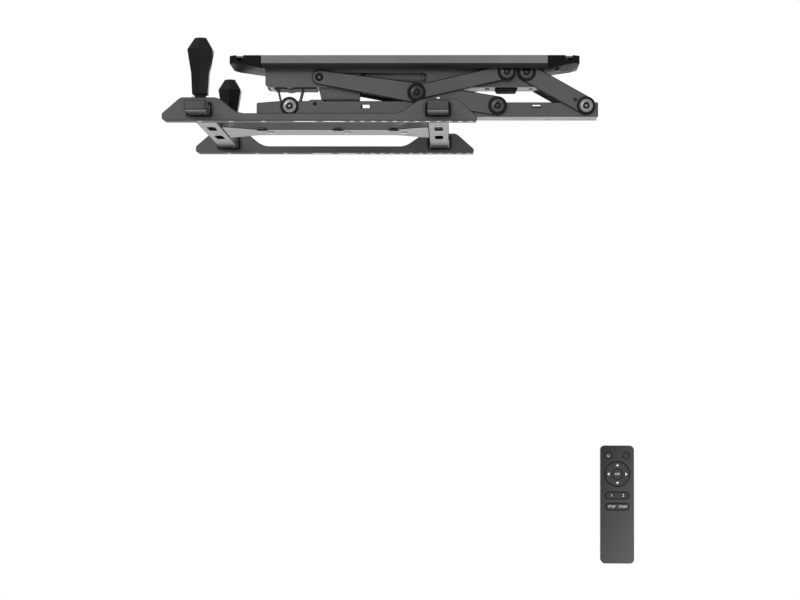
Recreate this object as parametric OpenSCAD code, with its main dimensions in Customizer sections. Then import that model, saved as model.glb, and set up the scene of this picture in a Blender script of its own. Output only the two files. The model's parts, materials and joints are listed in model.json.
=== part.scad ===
// Motorized ceiling mount for a television, folded flat under the ceiling.
// The origin is on the ceiling face, at the middle of the ceiling plate.
// +X points to the pivot end, +Y away from the viewer's side, +Z up.

/* [Ceiling plate] */
// Half the length of the steel ceiling plate between the end caps
plate_half_x = 222.5; // [215:0.5:240]
// Half the width of the ceiling plate
plate_half_y = 44; // [40:0.5:55]
// Thickness of the ceiling plate
plate_t = 2.5; // [2:0.1:4]
// Depth of the folded sides of the ceiling plate
plate_side = 12.5; // [9:0.5:16]
// Distance of each ceiling screw slot past the folded sides' ends
ceil_slot_out = 23.5; // [20:0.5:27]
// Distance from the middle to each ceiling screw slot along Y
ceil_slot_y = 26; // [20:0.5:30]
// Width of a ceiling screw slot
ceil_slot_w = 7; // [5:0.5:8]
// Length of a ceiling screw slot from end to end
ceil_slot_l = 16; // [12:0.5:18]
// Depth of the black cover pan below the plate's sides
pan_deep = 6.9; // [6:0.1:12]
// Wall of the black cover pan
pan_t = 1.5; // [1:0.1:2.5]

/* [End caps] */
// Length of each plastic end cap
cap_len = 49.5; // [46:0.5:60]
// Wall of an end cap
cap_t = 2.5; // [2:0.1:3.5]
// Length of the sloping corner of an end cap
cap_slope = 13; // [8:0.5:16]
// Height of the upright sides of a cap above the slopes
cap_nose = 12; // [9:0.1:14]
// Half the width of the narrow end of a cap's underside
cap_tip_y = 6; // [4:0.5:12]
// Radius of the power socket's bore
socket_r = 3.2; // [2.5:0.1:4]
// Width of the screw notch in the top edge of a cap
notch_w = 11; // [8:0.5:13]
// Depth of the screw notch, to its round bottom
notch_deep = 9.5; // [7:0.1:10.5]
// Distance of the screw notch from a cap's nose
notch_in = 16.5; // [14:0.5:20]

/* [Housing] */
// Distance from the plate's folded sides' ends in to the housing's ends
housing_in = 5; // [2:0.5:14]
// Half the width of the motor housing and of the swing channel
frame_half_y = 22; // [20:0.5:26]
// Depth of the housing's underside below the ceiling
housing_deep = 47; // [46.5:0.1:52]
// Sheet thickness of the housing and the channel
sheet_t = 2; // [1.5:0.1:2.5]
// Corner radius at the ends of the housing's sides
housing_r = 6; // [3:0.5:10]
// Length of the slider slot past the folded slider pivot
slot_past = 9; // [8.5:0.1:18]
// Length of the slider slot from end to end
slot_l = 178; // [172:0.5:187]
// Height of the slider slot
slot_h = 15.5; // [14:0.5:16]

/* [Linkage pivots] */
// Distance of the folded slider pivot from the plate's left end
p1_in = 89.5; // [88:0.5:92]
// Depth of the slider pivot
p1_z = 31.7; // [30:0.1:33]
// X of the middle pivot, folded
p2_x = 19.3; // [15:0.1:24]
// Depth of the middle pivot, folded
p2_z = 56.3; // [55:0.1:60]
// Distance of the folded channel pivot from the plate's right end
p3_in = 77.2; // [73:0.1:82]
// Depth of the channel's pivot line, folded
line_z = 76.4; // [75.5:0.1:79]
// Distance of the tail link's upper pivot from the plate's right end
p4_in = 32.2; // [31:0.1:35]
// Depth of the two pivots on the housing
base_pivot_z = 23.9; // [23:0.1:26]
// Distance of the tail link's lower pivot past the plate's right end
p5_out = 60.6; // [56:0.1:63]
// Distance of the rocker's upper pivot from the plate's right end
p6_in = 62.9; // [62:0.1:65]
// Distance of the folded lift sheaves from the plate's left end
p7_in = 43.1; // [40:0.1:46]

/* [Links] */
// Thickness of every link plate
link_t = 4; // [3:0.1:4.5]
// Running gap between plates that slide past each other
gap = 0.5; // [0.4:0.05:0.8]
// Half width of the lift bar at the slider
bar_r1 = 11.3; // [10:0.1:12]
// Half width of the lift bar at the middle pivot
bar_r2 = 16; // [14:0.1:16.5]
// Half width of the lift bar at the channel pivot
bar_r3 = 15; // [14:0.1:16]
// Half width of the rocker at its ends
rocker_r = 11.5; // [10:0.1:13]
// Half width of the tail link at its ends
tail_r = 14.5; // [13.5:0.1:15.5]
// Radius of a pivot pin
pin_r = 4; // [3.5:0.1:4.3]
// Radial running clearance of a pivot
run = 0.06; // [0.03:0.01:0.09]
// Radius of the slider pin
slider_r = 4.5; // [4:0.1:4.6]
// Outer radius of the black pivot ring
ring_r = 14.4; // [13.5:0.1:14.4]
// Outer radius of the bright pivot disc
disc_r = 11.8; // [10.5:0.1:12.5]
// Radius of a pivot bolt's head
head_r = 5.4; // [4.8:0.1:6]

/* [Swing channel] */
// Length of the channel past the lift sheaves
chan_left = 51.6; // [46:0.1:60]
// Length of the channel past the tail link's lower pivot
chan_right = 18.9; // [16:0.1:26]
// Distance of the channel's underside below its line of pivots
chan_below = 17; // [16.5:0.1:20]
// Height of the channel's top edge above its line of pivots
chan_above = 5.9; // [5.5:0.1:7]
// Drop of the channel's top edge towards its left end
chan_drop = 2; // [1:0.5:6]

/* [Television frame] */
// Distance of the left cross rail past the plate's left end
rail_out = 74.5; // [72:0.5:78]
// Width of a cross rail
rail_w = 31; // [28:0.5:33]
// Height of a cross rail
rail_h = 14; // [12:0.5:15]
// Drop of the cross rails' top below the spine's top edge
rail_drop = 3.2; // [0.6:0.1:4]
// Half the length of a cross rail
rail_half_y = 266; // [245:1:280]
// Wall of a cross rail
rail_t = 2; // [1.5:0.1:3]
// Distance from the middle to each opening under a cross rail
rail_slot_y = 52; // [48:0.5:60]
// Length of an opening under a cross rail
rail_slot_l = 44; // [36:0.5:50]
// Width of an opening under a cross rail
rail_slot_w = 12; // [10:0.5:14]
// Half the width of the spine in its middle
spine_half_y = 34; // [30:0.5:40]
// Half the width of the spine where it meets the rails
spine_flare_y = 62; // [50:0.5:75]
// Drop of the spine's top edge below the channel
spine_drop = 5.8; // [3.6:0.1:7]
// Thickness of the spine
spine_t = 2.5; // [2:0.1:3.5]

/* [Arms] */
// Distance between the television screw holes along X
vesa_x = 400; // [396:1:402]
// Distance between the television screw holes along Y
vesa_y = 400; // [380:1:420]
// Radius of a television screw hole
vesa_r = 4.2; // [3:0.1:4.5]
// Distance of the first screw hole to the left of the left rail's middle
arm_hole_out = 0.5; // [0:0.5:1]
// Distance of the right cross rail's middle to the left of the last hole
rail_in = 48.5; // [45:0.5:52]
// Width of an arm's bottom flange
arm_w = 24; // [20:0.5:28]
// Sheet thickness of an arm
arm_t = 2.5; // [2:0.1:3]
// Drop of an arm's underside below the cross rails
arm_drop = 8.4; // [7:0.1:10]
// Height of the steel above the left rail's window
window_roof = 6.3; // [4.7:0.1:7]
// Height of an arm between its raised ends
arm_low = 10.9; // [7:0.1:11]
// Width of an arm's rail window
window_w = 40; // [38:0.5:42]
// Height of an arm's rail window
window_h = 24; // [22:0.1:24]

/* [Clamp knobs] */
// Height of a clamp knob
knob_h = 84.8; // [76:0.1:86]
// Height of the collar between an arm and its knob
knob_lift = 4.4; // [3.5:0.1:6]
// Half width of a knob across its widest corners
knob_r = 18.7; // [16:0.1:22]
// Half width of a knob at its foot
knob_foot_r = 11.8; // [10:0.1:14]
// Radius of a knob's clamp screw
knob_screw_r = 4; // [3:0.1:5]

/* [Ropes] */
// Diameter of a steel lifting rope
rope_d = 2.4; // [1.5:0.1:2.5]
// Distance of each rope from the middle plane
rope_y = 11.5; // [11:0.1:12]
// Pitch radius of a lift sheave
sheave_r = 12.5; // [11:0.1:13]
// Radius of the winding drum's core
drum_core_r = 11; // [9:0.1:12]
// Radius of the winding drum's flanges
drum_r = 15.5; // [14:0.1:16]
// Depth of the winding drum's axis
drum_z = 33; // [32:0.1:34]

/* [Remote] */
// Width of the remote control
remote_w = 47.5; // [44:0.5:60]
// Length of the remote control
remote_l = 168; // [160:1:190]
// Thickness of the remote control
remote_t = 17; // [14:0.5:20]

/* [Hidden] */
$fn = 48;

dark = [0.24, 0.24, 0.25];
black = [0.08, 0.08, 0.085];
grey = [0.42, 0.42, 0.43];
steel = [0.72, 0.72, 0.74];
// Clear air between faces of different moving pieces
air = 0.3;
// Places along X that follow from the sizes above
ceil_slot_x = plate_half_x + ceil_slot_out;
housing_half_x = plate_half_x - housing_in;
p1_x = -plate_half_x + p1_in;
p3_x = plate_half_x - p3_in;
p4_x = plate_half_x - p4_in;
p5_x = plate_half_x + p5_out;
p6_x = plate_half_x - p6_in;
p7_x = -plate_half_x + p7_in;
slot_x0 = p1_x - slot_past;
slot_x1 = slot_x0 + slot_l;
chan_x0 = p7_x - chan_left;
chan_x1 = p5_x + chan_right;
rail_x0 = -plate_half_x - rail_out;
arm_hole_x = rail_x0 - arm_hole_out;
rail_x1 = arm_hole_x + vesa_x - rail_in;
// Depths, each below the one before
chan_top = line_z - chan_above;
chan_deep = line_z + chan_below;
spine_top = chan_deep + spine_drop;
rail_deep = spine_top + rail_drop + rail_h;
arm_deep = rail_deep + arm_drop;
wall_z = -plate_side - air;
pan_z = -plate_side - air - pan_deep;
// The pan is open below over the links, with a narrow lip along each side
pan_open_y = plate_half_y - 6;
inner_y = frame_half_y - sheet_t;
line = -line_z;
base_z = -base_pivot_z;
// Side layers, outwards from the frame
bar_y0 = frame_half_y + gap;
bar_y1 = bar_y0 + link_t;
rocker_y0 = bar_y1 + gap;
rocker_y1 = rocker_y0 + link_t;
ring_t = 1.6;
disc_t = 2.4;
head_t = 3.6;
nut_t = 2.4;
nut_r = 6;
slider_head_r = 9;
slider_head_t = 1.2;
cap_x1 = plate_half_x + air + cap_len;
notch_x = cap_x1 - notch_in;
cap_screw_x = plate_half_x + air + cap_len / 4;
cap_screw_y = plate_half_y / 2;
cap_head_r = 3.6;
cap_screw_r = 2;
small_head_r = 3.3;
small_head_t = 1.6;
small_hex_r = 1.4;
socket_z = -7.4;
plate_end_x = cap_x1 - cap_t - 4;
// Motor, gear case and drum
motor_r = 15;
motor_z = -housing_deep + sheet_t + motor_r;
case_l = 66;
case_x0 = p7_x + 45.4;
case_x1 = case_x0 + case_l;
case_half_y = 15;
case_bottom = -66;
motor_len = 108;
case_arm_y = 4.5;
drum_axis = -drum_z;
shaft_r = 4;
// Control board over the motor
board_l = 90;
board_w = 34;
board_t = 1.6;
board_z = 5.6;
board_x = p6_x - 99.6;
can_r = 3.2;
spool_y0 = 5.2;
spool_y1 = 17.2;
spool_flange = 1.4;
eyelet_r = 3.6;
eyelet_bore = 2.5;
guide_t = 2;
guide_half_y = 19;
eyelet_x = [p7_x - 20, p7_x + 20];
// Ropes
rope_r = rope_d / 2;
rope_top = -housing_deep;
sheave_w = 6;
// Route of a rope: down from its eyelet, under the sheave and up to the other eyelet
rope_dx = eyelet_x[1] - p7_x;
rope_dz = rope_top - line;
rope_turn = atan2(rope_dz, rope_dx) - acos(sheave_r / norm([rope_dx, rope_dz]));
rope_arc = 180 + 2 * rope_turn;
rope_rings = 5;
arc_rings = 12;
function rope_point(a) = [p7_x + sheave_r * cos(a), line + sheave_r * sin(a)];
function rope_fall(side, t) = (1 - t) * [p7_x + side * rope_dx, rope_top]
  + t * rope_point(side < 0 ? 180 - rope_turn : rope_turn);
rope_path = concat(
  [for (i = [0:rope_rings - 1]) rope_fall(-1, i / rope_rings)],
  [for (i = [0:arc_rings]) rope_point(180 - rope_turn + i * rope_arc / arc_rings)],
  [for (i = [rope_rings - 1:-1:0]) rope_fall(1, i / rope_rings)]);
function unit(v) = v / norm(v);
function rope_way(i) = unit(rope_path[min(i + 1, len(rope_path) - 1)] - rope_path[max(i - 1, 0)]);
rope_sides = 10;
// Frame below the channel
arm_z = -arm_deep;
web_y = arm_w / 2;
window_z = -rail_deep + rail_h / 2 + 0.7;
arm_tall = window_z + window_h / 2 + window_roof - arm_z;
arm_x0 = rail_x0 - 55.4;
arm_x1 = rail_x1 + 57;
row_x = arm_hole_x + vesa_x;
row_count = 12;
hole_pitch = vesa_x / 25;
long_slot = 0.0875 * vesa_x;
slot_at = [0.50375 * vesa_x, 0.61125 * vesa_x];
hole_at = [0.765 * vesa_x, 0.88375 * vesa_x, vesa_x];
short_w = 2 * vesa_r;
lock_screw_x = [rail_x0 - 9.5, rail_x1];
lock_screw_y = -7;
lock_screw_r = 1.8;
knob_z = arm_z + arm_tall + knob_lift;
knob_x = rail_x0;
spine_x0 = rail_x0 + rail_w / 2;
spine_x1 = rail_x1 - rail_w / 2;
spine_z = -rail_deep + 1.2;
spine_screw_x = [rail_x0 + 87, rail_x0 + 207, rail_x1 - 54];
spacer_r = 11;
spine_screw_r = 2.5;
spine_head_r = 5;
// Round openings along the spine's near fold
spine_hole_x = [rail_x0 + 76, rail_x0 + 194, rail_x1 - 70];
spine_hole_y = -28;
spine_hole_r = 8.5;
// Remote
remote_x = 312.3;
remote_y = -250;
remote_top = -598;
remote_r = 6;
round_x = 12.9;
round_r = 4.6;
ring_out = 17.5;
ring_in = 7.2;
button_up = 1.1;
button_deep = 3.6;
remote_face_t = 2.4;
button_gap = 0.35;
key_w = 33;
key_h = 9.4;
// Heights of the buttons below the top of the remote
round_z = 14.2;
pad_z = 40.5;
key_z = [71, 87];

module along_y(y0, y1) {
  translate([0, y1, 0]) rotate([90, 0, 0]) linear_extrude(y1 - y0) children();
}
module along_x(x0, x1) {
  translate([x0, 0, 0]) rotate([90, 0, 90]) linear_extrude(x1 - x0) children();
}
module y_rod(x, z, r, y0, y1) {
  translate([x, y1, z]) rotate([90, 0, 0]) cylinder(r = r, h = y1 - y0);
}
module x_rod(y, z, r, x0, x1) {
  translate([x0, y, z]) rotate([0, 90, 0]) cylinder(r = r, h = x1 - x0);
}
module z_rod(x, y, r, z0, z1) {
  translate([x, y, z0]) cylinder(r = r, h = z1 - z0);
}
module block(x0, x1, y0, y1, z0, z1) {
  translate([x0, y0, z0]) cube([x1 - x0, y1 - y0, z1 - z0]);
}
// Near and far copies of what lies beside the frame
module both_sides() {
  children();
  mirror([0, 1, 0]) children();
}
module both_ends() {
  children();
  mirror([1, 0, 0]) children();
}
// A slot or an obround in the plane of the drawing
module obround(x, y, len, wide) {
  hull() {
    translate([x - (len - wide) / 2, y]) circle(d = wide, $fn = 32);
    translate([x + (len - wide) / 2, y]) circle(d = wide, $fn = 32);
  }
}
module slot_down(x, y, len, wide, z0, z1) {
  block(x - (len - wide) / 2, x + (len - wide) / 2, y - wide / 2, y + wide / 2, z0, z1);
  z_rod(x - (len - wide) / 2, y, wide / 2, z0, z1);
  z_rod(x + (len - wide) / 2, y, wide / 2, z0, z1);
}
// A rectangle with rounded corners, about its own middle
module round_rect(w, h, r) {
  square([w - 2 * r, h], center = true);
  square([w, h - 2 * r], center = true);
  for (i = [-1, 1], j = [-1, 1]) translate([i * (w / 2 - r), j * (h / 2 - r)]) circle(r);
}
// The plate of a link between two round ends
module bar_outline(xa, za, ra, xb, zb, rb) {
  hull() {
    translate([xa, za]) circle(ra, $fn = 32);
    translate([xb, zb]) circle(rb, $fn = 32);
  }
}
// A hexagon socket in the outer face of a bolt's head
module socket(x, z, y1) {
  y_rod(x, z, 2.3, y1 - 2, y1 + 1, $fn = 6);
}
// A pivot bolt seen from the near side: pin, bright disc, head with its socket, and inner nut
module pivot_bolt(x, z, y_in, y_out) {
  difference() {
    union() {
      y_rod(x, z, pin_r, y_in, y_out + ring_t);
      y_rod(x, z, disc_r, y_out + ring_t, y_out + disc_t);
      y_rod(x, z, head_r, y_out + disc_t, y_out + head_t);
    }
    socket(x, z, y_out + head_t);
  }
}
module inner_nut(x, z) {
  y_rod(x, z, nut_r, inner_y - nut_t, inner_y, $fn = 6);
}
// The black ring between a link and the bright disc
module pivot_ring(x, z, y_out) {
  difference() {
    union() {
      y_rod(x, z, ring_r, y_out, y_out + ring_t);
      y_rod(x, z, disc_r + 1.6, y_out + ring_t, y_out + disc_t + 0.4);
    }
    y_rod(x, z, pin_r, y_out - 1, y_out + ring_t);
    y_rod(x, z, disc_r, y_out + ring_t, y_out + disc_t + 1);
  }
}

module ceiling_plate() color(grey) difference() {
  union() {
    block(-plate_end_x, plate_end_x, -plate_half_y + 8, plate_half_y - 8, -plate_t, 0);
    block(-plate_half_x, plate_half_x, -plate_half_y, plate_half_y, -plate_t, 0);
    both_sides() block(-plate_half_x, plate_half_x, -plate_half_y, -plate_half_y + plate_t,
      -plate_side, 0);
  }
  for (i = [-1, 1], j = [-1, 1])
    slot_down(i * ceil_slot_x, j * ceil_slot_y, ceil_slot_l, ceil_slot_w, -plate_t - 1, 1);
}

module pan_section(y) {
  polygon([[-y, wall_z], [-y, wall_z - 2.5], [-y + 4, pan_z], [y - 4, pan_z],
    [y, wall_z - 2.5], [y, wall_z]]);
}
module cover_pan() color(black) difference() {
  along_x(-plate_half_x, plate_half_x) difference() {
    pan_section(plate_half_y);
    translate([0, pan_t]) pan_section(plate_half_y - pan_t);
  }
  block(-housing_half_x - air, housing_half_x + air, -pan_open_y, pan_open_y, pan_z - 1,
    wall_z + 1);
}

// Plan view of a cap: two cut corners
module cap_plan(inset) {
  y = plate_half_y - inset;
  x = cap_x1 - inset;
  polygon([[plate_half_x + air, -y], [x - 10, -y], [x, -y + 8], [x, y - 8], [x - 10, y],
    [plate_half_x + air, y]]);
}
// Plan view of a cap's underside, which narrows towards the nose
module cap_foot(inset) {
  y = plate_half_y - inset - 1;
  x = cap_x1 - cap_slope - inset;
  polygon([[plate_half_x + air, -y], [x, -cap_tip_y], [x, cap_tip_y], [plate_half_x + air, y]]);
}
module cap_body(inset) {
  hull() {
    translate([0, 0, -cap_nose - inset / 4]) linear_extrude(cap_nose + inset / 4) cap_plan(inset);
    translate([0, 0, pan_z + inset]) linear_extrude(0.2) cap_foot(inset);
  }
}
module end_cap() color(black) difference() {
  cap_body(0);
  intersection() {
    cap_body(cap_t);
    block(plate_half_x, cap_x1, -plate_half_y, plate_half_y, pan_z, 1);
  }
  block(plate_half_x, plate_end_x + air, -plate_half_y + 8 - air, plate_half_y - 8 + air,
    -plate_t - air, 1);
  block(notch_x - notch_w / 2, notch_x + notch_w / 2, -plate_half_y - 1, plate_half_y + 1,
    -notch_deep + notch_w / 2, 1);
  y_rod(notch_x, -notch_deep + notch_w / 2, notch_w / 2, -plate_half_y - 1, plate_half_y + 1);
}
module end_cap_left() color(black) difference() {
  mirror([1, 0, 0]) end_cap();
  x_rod(0, socket_z, socket_r + 1.1, -cap_x1 - 1, -cap_x1 + cap_t + 1);
}
module end_cap_right() end_cap();

// Screws that hold the caps to the ends of the ceiling plate
module cap_screws() color(steel) both_ends() both_sides() difference() {
  union() {
    z_rod(cap_screw_x, cap_screw_y, cap_head_r, -plate_t - cap_screw_r, -plate_t);
    z_rod(cap_screw_x, cap_screw_y, cap_screw_r, pan_z + cap_t, -plate_t - cap_screw_r);
  }
  z_rod(cap_screw_x, cap_screw_y, small_hex_r, pan_z + cap_t - 1, pan_z + cap_t + cap_screw_r,
    $fn = 6);
}

module housing_side() {
  translate([-housing_half_x, -housing_deep + housing_r])
    square([2 * housing_half_x, housing_deep - housing_r - plate_t]);
  translate([-housing_half_x + housing_r, -housing_deep])
    square([2 * (housing_half_x - housing_r), housing_r]);
  for (i = [-1, 1]) translate([i * (housing_half_x - housing_r), -housing_deep + housing_r])
    circle(housing_r);
}
module housing() color(dark) difference() {
  union() {
    along_y(-frame_half_y, -inner_y) housing_side();
    along_y(inner_y, frame_half_y) housing_side();
    block(-housing_half_x + housing_r, housing_half_x - housing_r, -inner_y, inner_y,
      -housing_deep, -housing_deep + sheet_t);
    both_ends() block(housing_half_x - sheet_t, housing_half_x, -inner_y, inner_y,
      -housing_deep + housing_r, -plate_t);
  }
  along_y(-frame_half_y - 1, frame_half_y + 1) union() {
    translate([slot_x0 + slot_h / 2, -p1_z - slot_h / 2])
      square([slot_x1 - slot_x0 - slot_h, slot_h]);
    translate([slot_x0 + slot_h / 2, -p1_z]) circle(slot_h / 2);
    translate([slot_x1 - slot_h / 2, -p1_z]) circle(slot_h / 2);
  }
  for (x = [p4_x, p6_x]) y_rod(x, base_z, pin_r, -frame_half_y - 1, frame_half_y + 1);
  // The drum's belly, the gear case and the rope eyelets pass through the floor
  block(p7_x - 15, p7_x + 15, -spool_y1 - 0.8, spool_y1 + 0.8, -housing_deep - 1, -housing_deep + 3);
  block(case_x0 - air, case_x1 + air, -case_half_y - air, case_half_y + air, -housing_deep - 1,
    -housing_deep + 3);
  for (x = eyelet_x, y = [-rope_y, rope_y]) z_rod(x, y, eyelet_r, -housing_deep - 1, 0);
  for (x = [p6_x - 30, p4_x + 8]) z_rod(x, 0, 2, -housing_deep - 1, -housing_deep + 3);
}

// Small screws: one on each side of the housing and two in its floor
module housing_screws() color(steel) {
  both_sides() difference() {
    y_rod(p6_x - 48, -27, small_head_r, -frame_half_y - small_head_t, -frame_half_y);
    y_rod(p6_x - 48, -27, small_hex_r, -frame_half_y - small_head_t - 1,
      -frame_half_y - small_head_t / 2, $fn = 6);
  }
  for (x = [p6_x - 30, p4_x + 8]) difference() {
    union() {
      z_rod(x, 0, small_head_r, -housing_deep - small_head_t, -housing_deep);
      z_rod(x, 0, cap_screw_r, -housing_deep, -housing_deep + 5);
    }
    z_rod(x, 0, small_hex_r, -housing_deep - small_head_t - 1, -housing_deep - small_head_t / 2,
      $fn = 6);
  }
}

module gearmotor() color(steel) {
  x0 = case_x1 + 6;
  translate([x0, 0, motor_z]) rotate([0, 90, 0]) {
    cylinder(r = motor_r, h = motor_len - 14);
    translate([0, 0, motor_len - 14]) cylinder(r = motor_r - 2, h = 14);
    translate([0, 0, motor_len]) cylinder(r = 4, h = 4);
    translate([0, 0, -6]) cylinder(r = motor_r - 4, h = 6);
  }
}

module gear_case() color(dark) difference() {
  union() {
    along_y(-case_half_y, case_half_y) polygon([[case_x0, -housing_deep - 1],
      [case_x0 + 4, case_bottom], [case_x1 - 2, case_bottom], [case_x1, -housing_deep - 1],
      [case_x1, -14], [case_x0, -14]]);
    block(p7_x, case_x0 + 1, -case_arm_y, case_arm_y, drum_axis - 9, drum_axis + 9);
    y_rod(p7_x, drum_axis, 9, -case_arm_y, case_arm_y);
  }
  y_rod(p7_x, drum_axis, shaft_r + run, -case_arm_y - 1, case_arm_y + 1);
}

// Bushes that carry the drum's shaft in the housing's sides
module drum_bushes() color(steel) both_sides() difference() {
  y_rod(p7_x, drum_axis, 7.5, -inner_y, -inner_y + 2.2);
  y_rod(p7_x, drum_axis, shaft_r + run, -inner_y - 1, -inner_y + 3);
}

// Nylon guide under the housing's floor: a tray round the drum with an eyelet for each rope
module rope_eyelets() color(black) difference() {
  union() {
    along_y(-guide_half_y, guide_half_y) difference() {
      union() {
        translate([eyelet_x[0] - eyelet_r - 1, -housing_deep - guide_t])
          square([case_x0 - 3 - eyelet_x[0] + eyelet_r + 1, guide_t]);
        intersection() {
          translate([p7_x, drum_axis]) circle(drum_r + guide_t);
          translate([p7_x - drum_r, -housing_deep - drum_r]) square([2 * drum_r, drum_r]);
        }
      }
      translate([p7_x, drum_axis]) circle(drum_r + 0.6);
    }
    for (x = eyelet_x, y = [-rope_y, rope_y]) {
      z_rod(x, y, eyelet_r, -housing_deep - guide_t, -housing_deep + sheet_t);
      z_rod(x, y, eyelet_r + 0.8, -housing_deep + sheet_t, -housing_deep + sheet_t + 1.4);
    }
  }
  for (x = eyelet_x, y = [-rope_y, rope_y])
    z_rod(x, y, eyelet_bore, -housing_deep - guide_t - 1, -housing_deep + 5);
}

module control_board() color([0.05, 0.3, 0.15]) {
  block(board_x, board_x + board_l, -board_w / 2, board_w / 2, -board_z - board_t, -board_z);
  for (i = [0:3]) z_rod(board_x + 12 + i * 12, -9, can_r, -board_z - 8.9, -board_z - board_t);
  block(board_x + 58, board_x + 72, -8, 8, -board_z - 7.4, -board_z - board_t);
  block(board_x + 78, board_x + 88, -14, 2, -board_z - 8.9, -board_z - board_t);
  for (i = [0, 1], j = [-1, 1]) z_rod(board_x + 4 + i * (board_l - 8), j * (board_w / 2 - 3), 2,
    -board_z, -plate_t);
}

// Small dark lens for the remote's beam, under the right end cap
module receiver_window() color([0.25, 0.03, 0.05]) z_rod(plate_half_x + 16, -22, 4,
  pan_z - 2.2, pan_z);

// Round power socket in the left end cap's face, with its nut inside
module power_inlet() color(black) difference() {
  union() {
    x_rod(0, socket_z, socket_r + 1.1, -cap_x1, -cap_x1 + 12.5);
    x_rod(0, socket_z, socket_r + 2, -cap_x1 + cap_t, -cap_x1 + cap_t + 2.2);
  }
  x_rod(0, socket_z, socket_r, -cap_x1 - 1, -cap_x1 + 10.8);
}

// Rubber stop on the housing's underside
module rubber_stop() color(black) along_y(-14, 14) polygon([[p6_x - 18.5, -housing_deep],
  [p6_x - 15, -housing_deep - 5.4], [p6_x + 14, -housing_deep - 5.4],
  [p6_x + 17.5, -housing_deep]]);

// Bolts of the four pivots on the housing
module base_bolts() color(steel) both_sides() {
  pivot_bolt(p6_x, base_z, inner_y, rocker_y1 + air);
  pivot_bolt(p4_x, base_z, inner_y, bar_y1 + air);
  inner_nut(p6_x, base_z);
  inner_nut(p4_x, base_z);
}
module base_rings() color(black) both_sides() {
  pivot_ring(p6_x, base_z, rocker_y1 + air);
  pivot_ring(p4_x, base_z, bar_y1 + air);
}
// Spacers that stand the rockers clear of the housing
module base_spacers() color(dark) both_sides() difference() {
  y_rod(p6_x, base_z, 9, frame_half_y, rocker_y0 - air);
  y_rod(p6_x, base_z, pin_r, frame_half_y - 1, rocker_y0);
}

// The spools and shaft on which the ropes wind
module winding_drum() color(steel) {
  y_rod(p7_x, drum_axis, shaft_r, -inner_y + 0.2, inner_y - 0.2);
  both_sides() {
    y_rod(p7_x, drum_axis, drum_core_r, spool_y0, spool_y1);
    y_rod(p7_x, drum_axis, drum_r, spool_y0, spool_y0 + spool_flange);
    y_rod(p7_x, drum_axis, drum_r, spool_y1 - spool_flange, spool_y1);
  }
}

// Rockers: from the housing to the middle pivot
module rocker() color(dark) difference() {
  along_y(rocker_y0, rocker_y1) bar_outline(p6_x, base_z, rocker_r, p2_x, -p2_z, rocker_r);
  y_rod(p6_x, base_z, pin_r + run, rocker_y0 - 1, rocker_y1 + 1);
  y_rod(p2_x, -p2_z, pin_r + run, rocker_y0 - 1, rocker_y1 + 1);
}
module near_rocker() mirror([0, 1, 0]) rocker();
module far_rocker() rocker();

// Lift bars: from the slider, past the middle pivot, to the channel
module lift_bar() color(dark) difference() {
  along_y(bar_y0, bar_y1) {
    bar_outline(p1_x, -p1_z, bar_r1, p2_x, -p2_z, bar_r2);
    bar_outline(p2_x, -p2_z, bar_r2, p3_x, line, bar_r3);
  }
  y_rod(p1_x, -p1_z, slider_r, bar_y0 - 1, bar_y1 + 1);
  y_rod(p2_x, -p2_z, pin_r, bar_y0 - 1, bar_y1 + 1);
  y_rod(p3_x, line, pin_r + run, bar_y0 - 1, bar_y1 + 1);
}
module near_lift_bar() mirror([0, 1, 0]) lift_bar();
module far_lift_bar() lift_bar();

module middle_bolts() color(steel) both_sides() {
  pivot_bolt(p2_x, -p2_z, bar_y0, rocker_y1 + air);
}
module middle_rings() color(black) both_sides() pivot_ring(p2_x, -p2_z, rocker_y1 + air);

// Slider bolts: a head outside the lift bar and a retainer inside the housing's slot
module slider_bolts() color(steel) both_sides() difference() {
  union() {
    y_rod(p1_x, -p1_z, slider_r, inner_y - gap - slider_head_t, bar_y1);
    y_rod(p1_x, -p1_z, slider_head_r, inner_y - gap - slider_head_t, inner_y - gap);
    y_rod(p1_x, -p1_z, 6.2, bar_y1, bar_y1 + 2.6);
  }
  socket(p1_x, -p1_z, bar_y1 + 2.6);
}

// Tail links: from the housing to the channel's right end
module tail_link() color(dark) difference() {
  along_y(bar_y0, bar_y1) bar_outline(p4_x, base_z, tail_r, p5_x, line, tail_r);
  y_rod(p4_x, base_z, pin_r + run, bar_y0 - 1, bar_y1 + 1);
  y_rod(p5_x, line, pin_r, bar_y0 - 1, bar_y1 + 1);
  y_rod(p5_x - 17, line + 9.5, 1.6, bar_y0 - 1, bar_y1 + 1);
}
module near_tail_link() mirror([0, 1, 0]) tail_link();
module far_tail_link() tail_link();
module tail_bolts() color(steel) both_sides() pivot_bolt(p5_x, line, bar_y0, bar_y1);
module tail_rings() color(black) both_sides() pivot_ring(p5_x, line, bar_y1);

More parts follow.
